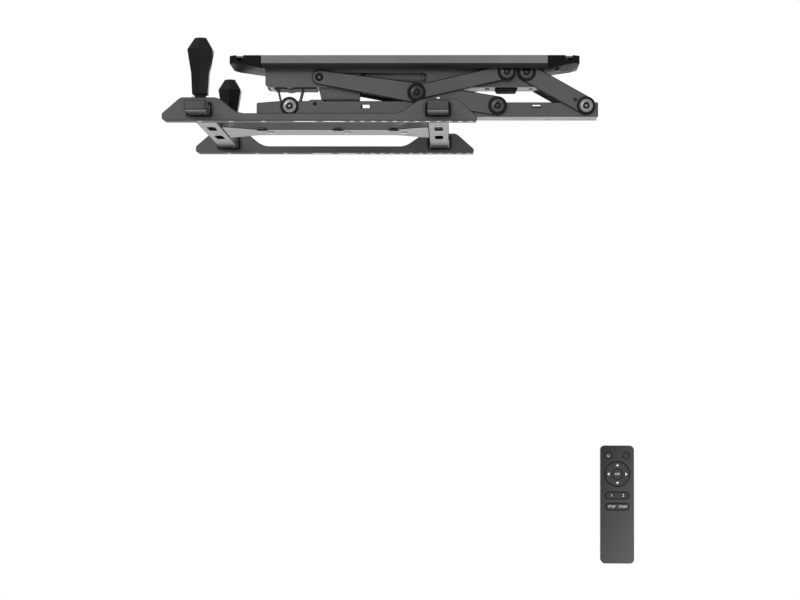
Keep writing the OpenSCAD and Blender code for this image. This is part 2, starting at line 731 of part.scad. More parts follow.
// Side view of the channel, with a raised ear beside the sheaves and one in the middle
module channel_side() {
  top = -chan_top;
  high = top + 2;
  ear = 2.2;
  polygon([[chan_x0, -chan_deep + 1], [chan_x0 + 1, -chan_deep], [chan_x1 - 1, -chan_deep],
    [chan_x1, -chan_deep + 1], [chan_x1, top], [p3_x, top], [45, high],
    [24, high], [20, high + ear], [2, high + ear], [-2, high],
    [p7_x + 55, high], [p7_x + 51, high + ear], [p7_x + 34, high + ear], [p7_x + 28, high],
    [p7_x - 16, high], [chan_x0 + 1.5, top - chan_drop + 1.2], [chan_x0, top - chan_drop]]);
}
module swing_channel() color(dark) difference() {
  union() {
    along_y(-frame_half_y, -inner_y) channel_side();
    along_y(inner_y, frame_half_y) channel_side();
    block(chan_x0 + 1, chan_x1 - 1, -inner_y, inner_y, -chan_deep, -chan_deep + sheet_t);
    block(chan_x0, chan_x0 + sheet_t, -inner_y, inner_y, -chan_deep + sheet_t,
      -chan_top - chan_drop);
    block(chan_x1 - sheet_t, chan_x1, -inner_y, inner_y, -chan_deep + sheet_t, -chan_top);
  }
  for (x = [p3_x, p7_x]) y_rod(x, line, pin_r, -frame_half_y - 1, frame_half_y + 1);
  for (x = [p7_x + 119, p5_x - 77]) block(x - 6.5, x + 6.5, -frame_half_y - 1, frame_half_y + 1,
    line - 3.2, line + 2);
  block(p7_x + 112.5, p7_x + 125.5, inner_y - 1, frame_half_y + 1, line - 3.2, line + 20);
  for (x = spine_screw_x) z_rod(x, 0, spine_screw_r, -chan_deep - 1, -chan_deep + 3);
}

// Pins, bright discs and nuts of the channel's pivots, and the discs over the sheaves' axle
module channel_bolts() color(steel) both_sides() {
  pivot_bolt(p3_x, line, inner_y, bar_y1 + air);
  inner_nut(p3_x, line);
  pivot_bolt(p7_x, line, frame_half_y, frame_half_y);
  difference() {
    y_rod(p7_x + 39.5, line + 3.5, 3, frame_half_y, frame_half_y + 1.5);
    y_rod(p7_x + 39.5, line + 3.5, 1.4, frame_half_y + 0.7, frame_half_y + 2, $fn = 6);
  }
}
module channel_rings() color(black) both_sides() {
  pivot_ring(p3_x, line, bar_y1 + air);
  pivot_ring(p7_x, line, frame_half_y);
}
// Axle of the sheaves with its three spacers
module sheave_axle() color(steel) {
  y_rod(p7_x, line, pin_r, -frame_half_y, frame_half_y);
  y_rod(p7_x, line, pin_r + 2.5, -rope_y + sheave_w / 2 + air, rope_y - sheave_w / 2 - air);
  both_sides() y_rod(p7_x, line, pin_r + 2.5, rope_y + sheave_w / 2 + air, inner_y);
}

// Grooved sheaves that the ropes pass under
module sheave() {
  half = sheave_w / 2;
  groove = rope_r + 0.2;
  rim = sheave_r + 1.7;
  rotate_extrude($fn = 64) difference() {
    translate([pin_r + run, -half]) square([rim - pin_r - run, sheave_w]);
    translate([sheave_r, 0]) circle(groove);
    translate([sheave_r, -groove]) square([rim, 2 * groove]);
  }
}
module lift_sheaves() color(black) for (y = [-rope_y, rope_y])
  translate([p7_x, y, line]) rotate([90, 0, 0]) sheave();

// A rope: a tube swept along its route
module rope(y) {
  n = len(rope_path);
  points = [for (i = [0:n - 1], k = [0:rope_sides - 1])
    let (w = rope_way(i), a = 360 * k / rope_sides, q = rope_r * cos(a))
      [rope_path[i][0] - q * w[1], y + rope_r * sin(a), rope_path[i][1] + q * w[0]]];
  wall = [for (i = [0:n - 2], k = [0:rope_sides - 1])
    let (a = i * rope_sides + k, b = i * rope_sides + (k + 1) % rope_sides)
      each [[a, b, b + rope_sides], [a, b + rope_sides, a + rope_sides]]];
  ends = [[for (k = [rope_sides - 1:-1:0]) k],
    [for (k = [0:rope_sides - 1]) (n - 1) * rope_sides + k]];
  polyhedron(points, concat(wall, ends));
}
module ropes() color(steel) for (y = [-rope_y, rope_y]) rope(y);

// Spine: a shallow tray between the cross rails, wider where it meets them
module spine_plan(inset) {
  y = spine_half_y - inset;
  f = spine_flare_y - inset;
  polygon([[spine_x0, -f], [spine_x0 + 12, -f + 2], [spine_x0 + 52, -y], [spine_x1 - 52, -y],
    [spine_x1 - 12, -f + 2], [spine_x1, -f], [spine_x1, f], [spine_x1 - 12, f - 2],
    [spine_x1 - 52, y], [spine_x0 + 52, y], [spine_x0 + 12, f - 2], [spine_x0, f]]);
}
module spine() color(dark) difference() {
  translate([0, 0, spine_z]) linear_extrude(-spine_top - spine_z) spine_plan(0);
  translate([0, 0, spine_z + spine_t]) linear_extrude(-spine_z) intersection() {
    spine_plan(spine_t);
    translate([spine_x0 + spine_t, -100]) square([spine_x1 - spine_x0 - 2 * spine_t, 200]);
  }
  for (x = spine_screw_x) z_rod(x, 0, spine_screw_r, spine_z - 1, spine_z + 5);
  for (x = spine_hole_x) z_rod(x, spine_hole_y, spine_hole_r, spine_z - 1, spine_z + spine_t);
}
module spine_spacers() color(dark) for (x = spine_screw_x) difference() {
  z_rod(x, 0, spacer_r, spine_z + spine_t, -chan_deep);
  z_rod(x, 0, spine_screw_r, spine_z, -chan_deep + 1);
}
module spine_screws() color(steel) for (x = spine_screw_x) difference() {
  union() {
    z_rod(x, 0, spine_head_r, spine_z - 1.2, spine_z);
    z_rod(x, 0, spine_screw_r, spine_z, -chan_deep + sheet_t + 2);
  }
  z_rod(x, 0, 1.7, spine_z - 2, spine_z + 1, $fn = 6);
}

// Cross rails: steel box tubes with long openings in their underside
module rail(x) color(dark) difference() {
  block(x - rail_w / 2, x + rail_w / 2, -rail_half_y, rail_half_y, -rail_deep, -rail_deep + rail_h);
  block(x - rail_w / 2 + rail_t, x + rail_w / 2 - rail_t, -rail_half_y - 1, rail_half_y + 1,
    -rail_deep + rail_t, -rail_deep + rail_h - rail_t);
  for (y = [-rail_slot_y, rail_slot_y]) {
    block(x - rail_slot_w / 2, x + rail_slot_w / 2, y - (rail_slot_l - rail_slot_w) / 2,
      y + (rail_slot_l - rail_slot_w) / 2, -rail_deep - 1, -rail_deep + rail_t + 1);
    for (j = [-1, 1]) z_rod(x, y + j * (rail_slot_l - rail_slot_w) / 2, rail_slot_w / 2,
      -rail_deep - 1, -rail_deep + rail_t + 1);
  }
}
module left_rail() rail(rail_x0);
module right_rail() rail(rail_x1);
module rail_caps() color(black) both_sides() for (x = [rail_x0, rail_x1]) {
  block(x - rail_w / 2, x + rail_w / 2, -rail_half_y - 2, -rail_half_y, -rail_deep,
    -rail_deep + rail_h);
  block(x - rail_w / 2 + rail_t + 0.1, x + rail_w / 2 - rail_t - 0.1, -rail_half_y,
    -rail_half_y + 12, -rail_deep + rail_t + 0.1, -rail_deep + rail_h - rail_t - 0.1);
}

// Side view of an arm: a low strip with a raised end at each rail
module arm_outline() {
  top = arm_z + arm_tall;
  low = arm_z + arm_low;
  polygon([[arm_x0 + 3, arm_z], [arm_x0, arm_z + 3], [arm_x0, arm_z + 9.7],
    [arm_x0 + 1, arm_z + 11.4],
    [arm_x0 + 25, top - 2], [arm_x0 + 28, top - 0.5], [arm_x0 + 31, top], [rail_x0 + 22, top],
    [rail_x0 + 28, top - 1.4], [rail_x0 + 34, top - 5], [rail_x0 + 46, low + 8.4],
    [rail_x0 + 52.5, low + 3.8], [rail_x0 + 58.5, low + 1.3], [rail_x0 + 65.5, low],
    [rail_x1 - 64.5, low], [rail_x1 - 57, low + 1.4], [rail_x1 - 50.5, low + 4.4],
    [rail_x1 - 36, top - 9], [rail_x1 - 30, top - 5], [rail_x1 - 24, top - 2.8],
    [rail_x1 - 18, top - 2], [arm_x1 - 33, top - 2], [arm_x1 - 29, top - 2.8],
    [arm_x1 - 25, top - 5.5], [arm_x1 - 0.8, arm_z + 7.2], [arm_x1, arm_z + 6],
    [arm_x1, arm_z + 1], [arm_x1 - 1, arm_z]]);
}
// An arm in its place on the near side is moved by -vesa_y / 2, and on the far side by the same
module arm() color(dark) difference() {
  union() {
    along_y(-web_y, -web_y + arm_t) difference() {
      arm_outline();
      for (x = [rail_x0, rail_x1]) translate([x, window_z]) round_rect(window_w, window_h, 5);
    }
    block(arm_x0 + 3, arm_x1 - 1, -web_y + arm_t, web_y, arm_z, arm_z + arm_t);
    block(rail_x0 - 23, rail_x0 + 21, -web_y + arm_t, web_y, arm_z + arm_tall - arm_t,
      arm_z + arm_tall);
    block(rail_x1 - 17, rail_x1 + 21, -web_y + arm_t, web_y, arm_z + arm_tall - 2 - arm_t,
      arm_z + arm_tall - 2);
  }
  for (i = [0:row_count - 1]) z_rod(row_x - i * hole_pitch, 0, vesa_r, arm_z - 1, arm_z + 5);
  for (d = hole_at) z_rod(row_x - d, 0, vesa_r, arm_z - 1, arm_z + 5);
  for (d = slot_at) slot_down(row_x - d, 0, long_slot, short_w, arm_z - 1, arm_z + 5);
  z_rod(knob_x, 0, knob_screw_r + run, arm_z + arm_tall - 5, arm_z + arm_tall + 1);
  for (x = lock_screw_x) z_rod(x, lock_screw_y, lock_screw_r, arm_z + arm_tall - 5,
    arm_z + arm_tall + 1);
}
// Black liners that fill the windows round the rails
module liners() color(black) for (x = [rail_x0, rail_x1]) difference() {
  along_y(-web_y - 1.2, -web_y + arm_t + 2.5) difference() {
    translate([x, window_z]) round_rect(window_w - 0.2, window_h - 0.2, 5);
    translate([x, -rail_deep + rail_h / 2])
      square([rail_w + 2 * air, rail_h + 2 * air], center = true);
  }
}
module arm_screws() color(steel) for (i = [0, 1]) difference() {
  x = lock_screw_x[i];
  top = arm_z + arm_tall - 2 * i;
  union() {
    z_rod(x, lock_screw_y, 2.6, top, top + 2.4);
    z_rod(x, lock_screw_y, lock_screw_r, top - arm_t - 0.5, top);
  }
  z_rod(x, lock_screw_y, 1.3, top + 1, top + 3, $fn = 6);
}
// The screw that presses down on the left rail, with its collar
module clamp_screw() color(steel) {
  z_rod(knob_x, 0, knob_screw_r, -rail_deep + rail_h + air, knob_z);
  z_rod(knob_x, 0, knob_foot_r - 3, arm_z + arm_tall + air, knob_z);
}
// A six-sided knob that widens upwards and ends in a cut point
module knob() color(black) {
  wide = 1 / cos(30);
  top = knob_z + knob_h;
  translate([knob_x, 0, 0]) rotate([0, 0, 30]) rotate_extrude($fn = 6) scale([wide, 1])
    polygon([[0, knob_z], [knob_foot_r - 1, knob_z], [knob_foot_r, knob_z + 0.03 * knob_h],
      [0.3 * knob_r + 0.65 * knob_foot_r, knob_z + 0.38 * knob_h],
      [0.9 * knob_r, knob_z + 0.64 * knob_h], [knob_r, knob_z + 0.79 * knob_h],
      [0.45 * knob_r, top - 1], [0.4 * knob_r, top], [0, top]]);
}
module on_near() translate([0, -vesa_y / 2, 0]) children();
module on_far() translate([0, vesa_y / 2, 0]) children();
module near_arm() on_near() arm();
module near_liners() on_near() liners();
module near_screws() on_near() arm_screws();
module near_clamp_screw() on_near() clamp_screw();
module near_knob() on_near() knob();
module far_arm() on_far() arm();
module far_liners() on_far() liners();
module far_screws() on_far() arm_screws();
module far_clamp_screw() on_far() clamp_screw();
module far_knob() on_far() knob();

// Front view of the remote and of its buttons
module remote_outline(inset) {
  translate([remote_x, remote_top - remote_l / 2])
    round_rect(remote_w - 2 * inset, remote_l - 2 * inset, remote_r - inset / 2);
}
module keys_outline(z, grow) {
  translate([remote_x, remote_top - z])
    round_rect(key_w + 2 * grow, key_h + 2 * grow, key_h / 2 - 0.1 + grow);
}
module remote_face() color(black) difference() {
  along_y(remote_y, remote_y + remote_face_t) remote_outline(0);
  for (s = [-1, 1]) y_rod(remote_x + s * round_x, remote_top - round_z, round_r + button_gap,
    remote_y - 1, remote_y + 5);
  y_rod(remote_x, remote_top - pad_z, ring_out + button_gap, remote_y - 1, remote_y + 5);
  for (z = key_z) along_y(remote_y - 1, remote_y + 5) keys_outline(z, button_gap);
}
// Back shell with a ledge under every button
module remote_back() color(black) {
  difference() {
    along_y(remote_y + remote_face_t, remote_y + remote_t) remote_outline(0);
    along_y(remote_y + remote_face_t - 1, remote_y + remote_t - 2) remote_outline(2);
  }
  for (s = [-1, 1]) y_rod(remote_x + s * round_x, remote_top - round_z, 2.5,
    remote_y + button_deep + button_up + air, remote_y + remote_t - 2);
  y_rod(remote_x, remote_top - pad_z, 3, remote_y + button_deep + button_up + air,
    remote_y + remote_t - 2);
  for (s = [-1, 1]) y_rod(remote_x + s * (ring_out - 4), remote_top - pad_z, 2,
    remote_y + button_deep + button_up + air, remote_y + remote_t - 2);
  for (z = key_z) y_rod(remote_x, remote_top - z, 1.6, remote_y + button_deep + air,
    remote_y + remote_t - 2);
}
module round_button(s) {
  y_rod(remote_x + s * round_x, remote_top - round_z, round_r, remote_y - button_up,
    remote_y + button_deep);
}
module power_button() color(dark) round_button(-1);
module mode_button() color(dark) round_button(1);
module pad_ring() color(dark) difference() {
  y_rod(remote_x, remote_top - pad_z, ring_out, remote_y - button_up, remote_y + button_deep);
  y_rod(remote_x, remote_top - pad_z, ring_in + button_gap, remote_y - 2,
    remote_y + button_deep + 1);
}
module pad_centre() color(dark) y_rod(remote_x, remote_top - pad_z, ring_in,
  remote_y - button_up, remote_y + button_deep);
module rocker_keys(z) {
  along_y(remote_y - button_up, remote_y + button_deep) keys_outline(z, 0);
}
module number_keys() color(dark) rocker_keys(key_z[0]);
module lower_keys() color(dark) rocker_keys(key_z[1]);

ceiling_plate();
cover_pan();
end_cap_left();
end_cap_right();
cap_screws();
housing();
gearmotor();
gear_case();
drum_bushes();
rope_eyelets();
control_board();
receiver_window();
power_inlet();
rubber_stop();
housing_screws();
base_bolts();
base_rings();
base_spacers();
winding_drum();
near_rocker();
far_rocker();
near_lift_bar();
far_lift_bar();
middle_bolts();
middle_rings();
slider_bolts();
near_tail_link();
far_tail_link();
tail_bolts();
tail_rings();
swing_channel();
channel_bolts();
channel_rings();
sheave_axle();
lift_sheaves();
spine();
spine_spacers();
spine_screws();
left_rail();
right_rail();
rail_caps();
near_arm();
near_liners();
near_screws();
near_clamp_screw();
near_knob();
far_arm();
far_liners();
far_screws();
far_clamp_screw();
far_knob();
ropes();
remote_face();
remote_back();
power_button();
mode_button();
pad_ring();
pad_centre();
number_keys();
lower_keys();
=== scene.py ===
import json
import math

import bpy
from mathutils import Matrix, Vector


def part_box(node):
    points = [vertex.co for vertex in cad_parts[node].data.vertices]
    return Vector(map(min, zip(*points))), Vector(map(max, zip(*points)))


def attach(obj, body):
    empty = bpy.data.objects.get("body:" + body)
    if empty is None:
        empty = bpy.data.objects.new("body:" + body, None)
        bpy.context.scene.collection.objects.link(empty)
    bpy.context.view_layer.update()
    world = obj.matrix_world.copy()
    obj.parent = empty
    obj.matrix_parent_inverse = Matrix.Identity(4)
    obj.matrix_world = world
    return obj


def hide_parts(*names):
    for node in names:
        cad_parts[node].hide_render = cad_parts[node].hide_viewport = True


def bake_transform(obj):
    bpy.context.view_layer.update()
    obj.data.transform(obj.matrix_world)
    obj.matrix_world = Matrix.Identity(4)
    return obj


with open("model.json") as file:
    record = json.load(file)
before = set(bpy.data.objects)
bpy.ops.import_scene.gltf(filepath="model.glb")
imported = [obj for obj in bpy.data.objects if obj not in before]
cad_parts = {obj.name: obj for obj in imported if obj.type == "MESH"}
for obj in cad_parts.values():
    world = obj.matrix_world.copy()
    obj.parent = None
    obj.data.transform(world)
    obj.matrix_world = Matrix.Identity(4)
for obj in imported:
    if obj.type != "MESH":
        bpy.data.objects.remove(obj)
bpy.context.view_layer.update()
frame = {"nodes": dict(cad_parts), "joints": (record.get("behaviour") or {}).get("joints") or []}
bpy.ops.object.select_all(action="DESELECT")

# Camera
# It stands 3.2 m in front of the mount and half a metre below the ceiling, a little right of
# the plate's middle, and looks slightly up and left, as the photograph does.
image_width = 800
focal_pixels = 2017
camera_place = (0.0723, -3.1527, -0.5213)
camera_tilt = math.radians(92.592)
camera_turn = math.radians(1.425)
camera_roll = math.radians(0.21)
bpy.ops.object.camera_add(location=camera_place, rotation=(camera_tilt, 0, camera_turn))
camera = bpy.context.object
camera.rotation_euler.rotate_axis("Z", camera_roll)
camera.name = "photo_camera"
camera.data.sensor_width = 36
camera.data.lens = focal_pixels / image_width * camera.data.sensor_width
camera.data.clip_end = 50
bpy.context.scene.camera = camera

# Room, floor and light
# A pale floor lies below the mount, and there is no wall. Four large soft lamps stand in front,
# at the right, below and behind, and the white surroundings fill in from all sides.
floor_z = -1.25
floor_wide = 3.4
bpy.ops.mesh.primitive_plane_add(size=floor_wide, location=(0, 0, floor_z))
floor = bpy.context.object
floor.name = "pale_floor"
floor_paint = bpy.data.materials.new("pale_floor_paint")
floor_paint.use_nodes = True
floor_shader = floor_paint.node_tree.nodes["Principled BSDF"]
floor_shader.inputs["Base Color"].default_value = (0.86, 0.86, 0.86, 1)
floor_shader.inputs["Roughness"].default_value = 0.8
floor.data.materials.append(floor_paint)


def soft_lamp(name, place, aim, width, power):
    """A square soft box of light at a place, turned towards a point."""
    bpy.ops.object.light_add(type="AREA", location=place)
    lamp = bpy.context.object
    lamp.name = name
    lamp.data.size = width
    lamp.data.energy = power
    lamp.rotation_euler = (Vector(aim) - Vector(place)).to_track_quat("-Z", "Y").to_euler()


mount_middle = (0, 0, -0.08)
soft_lamp("front_lamp", (-1.3, -2.4, 1.1), mount_middle, 1.4, 26)
soft_lamp("right_lamp", (2.2, -1.6, 0.5), mount_middle, 1.2, 10)
soft_lamp("low_lamp", (0.1, -0.9, -1.2), mount_middle, 1.2, 11)
soft_lamp("back_lamp", (0.4, 2.2, 0.9), mount_middle, 1.4, 12)

world = bpy.data.worlds.new("white_room")
bpy.context.scene.world = world
world.use_nodes = True
air_nodes = world.node_tree.nodes
air_links = world.node_tree.links
dim_air = air_nodes["Background"]
white_air = air_nodes.new("ShaderNodeBackground")
for air, strength in ((dim_air, 0.55), (white_air, 1)):
    air.inputs["Color"].default_value = (1, 1, 1, 1)
    air.inputs["Strength"].default_value = strength
ray = air_nodes.new("ShaderNodeLightPath")
seen = ray.outputs["Is Camera Ray"]
for kind in ("Is Glossy Ray", "Is Transmission Ray"):
    either = air_nodes.new("ShaderNodeMath")
    either.operation = "MAXIMUM"
    air_links.new(seen, either.inputs[0])
    air_links.new(ray.outputs[kind], either.inputs[1])
    seen = either.outputs[0]
air_mix = air_nodes.new("ShaderNodeMixShader")
air_links.new(seen, air_mix.inputs[0])
air_links.new(dim_air.outputs[0], air_mix.inputs[1])
air_links.new(white_air.outputs[0], air_mix.inputs[2])
air_links.new(air_mix.outputs[0], air_nodes["World Output"].inputs["Surface"])
bpy.context.scene.view_settings.view_transform = "Standard"

# Ceiling plate
# A folded steel plate that is screwed to the ceiling through four slots in its end tongues.
# It is cut, folded and powder coated in a fine mid grey.
mm = 0.001
weld_gap = 0.002 * mm


def object_place(shader, shift=(0, 0, 0)):
    """The piece's own coordinates, moved by a shift."""
    tree = shader.id_data
    place = tree.nodes.new("ShaderNodeTexCoord")
    mapping = tree.nodes.new("ShaderNodeMapping")
    mapping.inputs["Location"].default_value = shift
    tree.links.new(place.outputs["Object"], mapping.inputs["Vector"])
    return mapping.outputs["Vector"]


def object_noise(shader, scale, detail=2.0):
    """Noise on the piece's own coordinates."""
    tree = shader.id_data
    noise = tree.nodes.new("ShaderNodeTexNoise")
    noise.inputs["Scale"].default_value = scale
    noise.inputs["Detail"].default_value = detail
    tree.links.new(object_place(shader), noise.inputs["Vector"])
    return noise


def vary_colour(shader, noise, dark, light):
    """Base colour between a darker and a lighter tone, following a noise."""
    tree = shader.id_data
    ramp = tree.nodes.new("ShaderNodeValToRGB")
    for stop, position, tone in zip(ramp.color_ramp.elements, (0.32, 0.68), (dark, light)):
        stop.position = position
        stop.color = (*tone, 1)
    tree.links.new(noise.outputs["Fac"], ramp.inputs["Fac"])
    tree.links.new(ramp.outputs["Color"], shader.inputs["Base Color"])


def vary_roughness(shader, noise, low, high):
    """Roughness between two values, following a noise."""
    tree = shader.id_data
    spread = tree.nodes.new("ShaderNodeMapRange")
    spread.inputs["From Min"].default_value = 0.3
    spread.inputs["From Max"].default_value = 0.7
    spread.inputs["To Min"].default_value = low
    spread.inputs["To Max"].default_value = high
    tree.links.new(noise.outputs["Fac"], spread.inputs["Value"])
    tree.links.new(spread.outputs["Result"], shader.inputs["Roughness"])


def add_grain(shader, noise, depth, strength):
    """Surface grain of a given depth, following a noise."""
    tree = shader.id_data
    bump = tree.nodes.new("ShaderNodeBump")
    bump.inputs["Distance"].default_value = depth
    bump.inputs["Strength"].default_value = strength
    tree.links.new(noise.outputs["Fac"], bump.inputs["Height"])
    tree.links.new(bump.outputs["Normal"], shader.inputs["Normal"])


def new_finish(name, metallic, roughness, sheen=0.5):
    """An empty finish, with the values that are the same all over on the shader itself."""
    material = bpy.data.materials.new(name)
    material.use_nodes = True
    shader = material.node_tree.nodes["Principled BSDF"]
    shader.inputs["Metallic"].default_value = metallic
    shader.inputs["Roughness"].default_value = roughness
    shader.inputs["Specular IOR Level"].default_value = sheen
    return material, shader


def powder_coat(name, tone, roughness=0.42, sheen=0.5):
    """Baked powder coat: an even tone with faint clouding and a fine orange-peel grain."""
    material, shader = new_finish(name, 0.0, roughness, sheen)
    dark = tuple(0.93 * c for c in tone)
    light = tuple(1.07 * c for c in tone)
    vary_colour(shader, object_noise(shader, 26, 3), dark, light)
    vary_roughness(shader, object_noise(shader, 60, 3), roughness - 0.04, roughness + 0.05)
    add_grain(shader, object_noise(shader, 1100), 0.03 * mm, 0.4)
    return material


def added(name):
    """The piece that was just added, under its own name."""
    piece = bpy.context.object
    piece.name = name
    return piece


def pick(piece):
    """Selects one piece alone and makes it the active one."""
    bpy.ops.object.select_all(action="DESELECT")
    piece.select_set(True)
    bpy.context.view_layer.objects.active = piece


def wear(piece, finish, body, node=None):
    """Gives a piece its finish, the body that it moves with and the frame piece it stands for."""
    piece.data.materials.clear()
    piece.data.materials.append(finish)
    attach(piece, body)
    if node:
        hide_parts(node)


def open_mesh():
    """Starts the work on the active piece's mesh, with all of it selected."""
    bpy.ops.object.mode_set(mode="EDIT")
    bpy.ops.mesh.select_all(action="SELECT")


def close_mesh(weld=False):
    """Ends the work on a mesh: welds it where asked and turns all of its faces outwards."""
    bpy.ops.mesh.select_all(action="SELECT")
    if weld:
        bpy.ops.mesh.remove_doubles(threshold=weld_gap)
        bpy.ops.mesh.delete_loose()
        bpy.ops.mesh.select_all(action="SELECT")
    bpy.ops.mesh.normals_make_consistent(inside=False)
    bpy.ops.object.mode_set(mode="OBJECT")


def round_edges(piece, edge, segments=2, angle=34):
    """Rounds the sharp edges of a piece, and keeps its flat faces flat to the light."""
    pick(piece)
    bevel = piece.modifiers.new("edge", "BEVEL")
    bevel.width = edge
    bevel.segments = segments
    bevel.limit_method = "ANGLE"
    bevel.angle_limit = math.radians(angle)
    # The rounded edges take the last finish, which is a line of painted shade where a piece has a rim.
    bevel.material = len(piece.data.materials) - 1
    bevel.use_clamp_overlap = len(piece.data.materials) < 2
    bpy.ops.object.modifier_apply(modifier="edge")
    bpy.ops.object.shade_smooth_by_angle(angle=math.radians(50))
    weighted = piece.modifiers.new("flat_faces", "WEIGHTED_NORMAL")
    weighted.keep_sharp = True
    bpy.ops.object.modifier_apply(modifier="flat_faces")


def finished_copy(node, name, edge, finish, body, rim=None):
    """A copy of a frame piece with whole faces and rounded edges, which stands for that piece.
    A rim is a second finish for the rounded edges alone: a near-black line of painted shade along them."""
    piece = frame["nodes"][node].copy()
    piece.data = frame["nodes"][node].data.copy()
    bpy.context.scene.collection.objects.link(piece)
    for key in list(piece.keys()):
        del piece[key]
    piece.name = name
    piece.parent = None
    piece.matrix_world = Matrix.Identity(4)
    pick(piece)
    open_mesh()
    bpy.ops.mesh.remove_doubles(threshold=weld_gap)
    bpy.ops.mesh.dissolve_limited(angle_limit=math.radians(0.4))
    bpy.ops.object.mode_set(mode="OBJECT")
    wear(piece, finish, body, node)
    if rim:
        piece.data.materials.append(rim)
    round_edges(piece, edge)
    return piece


plate_paint = powder_coat("grey_plate_coat", (0.135, 0.135, 0.137))
finished_copy("ceiling_plate", "ceiling_plate_folded", 0.5 * mm, plate_paint, "base")

# Cover pan
# A black steel pan under the ceiling plate, with sloping sides and an open middle for the
# links. It is pressed from sheet, painted, and clipped inside the plate's folded sides.
pan_paint = powder_coat("black_pan_coat", (0.010, 0.010, 0.011), 0.4, 0.15)
finished_copy("cover_pan", "cover_pan_pressed", 0.4 * mm, pan_paint, "base")

# End caps
# Two moulded black plastic caps that hide the plate's ends, with a sloping nose and a notch
# on each side for a screwdriver. Each is held by two screws from below.


def moulded_plastic(name, tone, roughness=0.48, grain=0.05 * mm, sheen=0.2):
    """Moulded plastic: one tone through, a spark-eroded grain and a dull even sheen."""
    material, shader = new_finish(name, 0.0, roughness, sheen)
    dark = tuple(0.88 * c for c in tone)
    light = tuple(1.12 * c for c in tone)
    vary_colour(shader, object_noise(shader, 40, 3), dark, light)
    vary_roughness(shader, object_noise(shader, 90), roughness - 0.05, roughness + 0.05)
    add_grain(shader, object_noise(shader, 1700), grain, 0.6)
    return material


cap_plastic = moulded_plastic("black_cap_plastic", (0.005, 0.005, 0.006), 0.36, 0.03 * mm, 0.06)
for side in ("left", "right"):
    finished_copy("end_cap_" + side, side + "_cap_moulding", 0.9 * mm, cap_plastic, "base")

# Small screws
# Zinc-plated steel screws with a hexagon recess, in the caps, the housing, the spine and the
# arms. They are cold-formed and tumbled, so their edges are soft.


def plated_steel(name, tone, roughness=0.3):
    """Bright plated steel with fine turning marks and slight blotches in its shine."""
    material, shader = new_finish(name, 1.0, roughness)
    dark = tuple(0.86 * c for c in tone)
    vary_colour(shader, object_noise(shader, 220, 3), dark, tone)
    vary_roughness(shader, object_noise(shader, 400, 3), roughness - 0.07, roughness + 0.1)
    add_grain(shader, object_noise(shader, 1500), 0.02 * mm, 0.5)
    return material


bright_zinc = plated_steel("bright_zinc", (0.62, 0.62, 0.64))
for node, name, body in (
    ("cap_screws", "cap_fixing_screws", "base"),
    ("housing_screws", "housing_fixing_screws", "base"),
    ("near_screws", "near_lock_screws", "near_arm_set"),
    ("far_screws", "far_lock_screws", "far_arm_set"),
):
    finished_copy(node, name, 0.3 * mm, bright_zinc, body)
finished_copy("spine_screws", "spine_fixing_screws", 0.4 * mm, bright_zinc, "swing_frame")

# Motor housing
# A folded steel box under the plate that carries the motor, the drum and the upper pivots,
# with a long slot in each side for the sliders. It is powder coated dark grey, and so are the
# cast gear case that hangs through its floor and the turned spacers behind the rockers.
frame_coat = powder_coat("dark_frame_coat", (0.056, 0.056, 0.057), 0.24, 0.55)
# A near-black finish for rounded edges: painted shade, a dark line standing in for the shadow along each
# edge and gap.
edge_shade_coat = powder_coat("painted_edge_shade", (0.008, 0.008, 0.009), 0.5, 0.1)
finished_copy("housing", "housing_box", 0.5 * mm, frame_coat, "base")
finished_copy("gear_case", "gear_case_casting", 0.9 * mm, frame_coat, "base", edge_shade_coat)
finished_copy("base_spacers", "rocker_spacers", 0.3 * mm, frame_coat, "base")

# Links
# Two rockers, two lift bars and two tail links, cut from 4 mm steel plate with rounded ends,
# tumbled to break their edges and powder coated like the housing.
for side in ("near", "far"):
    for link, body in (("rocker", "rockers"), ("lift_bar", "lift_bars"), ("tail_link", "tail_links")):
        node = f"{side}_{link}"
        finished_copy(node, node + "_plate", 1.4 * mm, frame_coat, body, edge_shade_coat)

# Swing channel and television frame
# A folded steel channel that swings down, and below it a pressed spine between two box rails
# that carry the arms. All are welded or screwed together and powder coated.
for node, name in (
    ("swing_channel", "channel_folded"),
    ("spine", "spine_pressed"),
    ("left_rail", "left_rail_tube"),
    ("right_rail", "right_rail_tube"),
):
    finished_copy(node, name, 0.9 * mm, frame_coat, "swing_frame", edge_shade_coat)
finished_copy("spine_spacers", "spine_standoffs", 0.4 * mm, frame_coat, "swing_frame")
rail_plastic = moulded_plastic("grey_rail_plastic", (0.040, 0.040, 0.041), 0.3, 0.02 * mm, 0.4)
finished_copy(
    "rail_caps", "rail_end_caps", 0.9 * mm, rail_plastic, "swing_frame", edge_shade_coat
)

# Arms
# Two identical angle-section arms, cut and folded from 2.5 mm steel and powder coated. The
# screw holes and slots along the bottom are cut through the coat, so their walls are bright.
# Black plastic liners fill the windows round the rails.
arm_coat = powder_coat("arm_coat", (0.064, 0.064, 0.065), 0.5, 0.4)
cut_steel = plated_steel("bare_cut_steel", (0.85, 0.85, 0.86), 0.5)
# Hole walls lie below this height on the flange, and this far inside the arm's outline
hole_wall_top = 2.45 * mm
hole_wall_in = 5 * mm


def bare_hole_walls(piece, finish):
    """Gives the walls of the holes in an arm's bottom flange a finish of their own."""
    piece.data.materials.append(finish)
    corners = [vertex.co for vertex in piece.data.vertices]
    left = min(c.x for c in corners) + hole_wall_in
    right = max(c.x for c in corners) - hole_wall_in
    front = min(c.y for c in corners) + hole_wall_in
    back = max(c.y for c in corners) - hole_wall_in
    roof = min(c.z for c in corners) + hole_wall_top
    for face in piece.data.polygons:
        inside = left < face.center.x < right and front < face.center.y < back
        if inside and face.center.z < roof and abs(face.normal.z) < 0.8:
            face.material_index = len(piece.data.materials) - 1


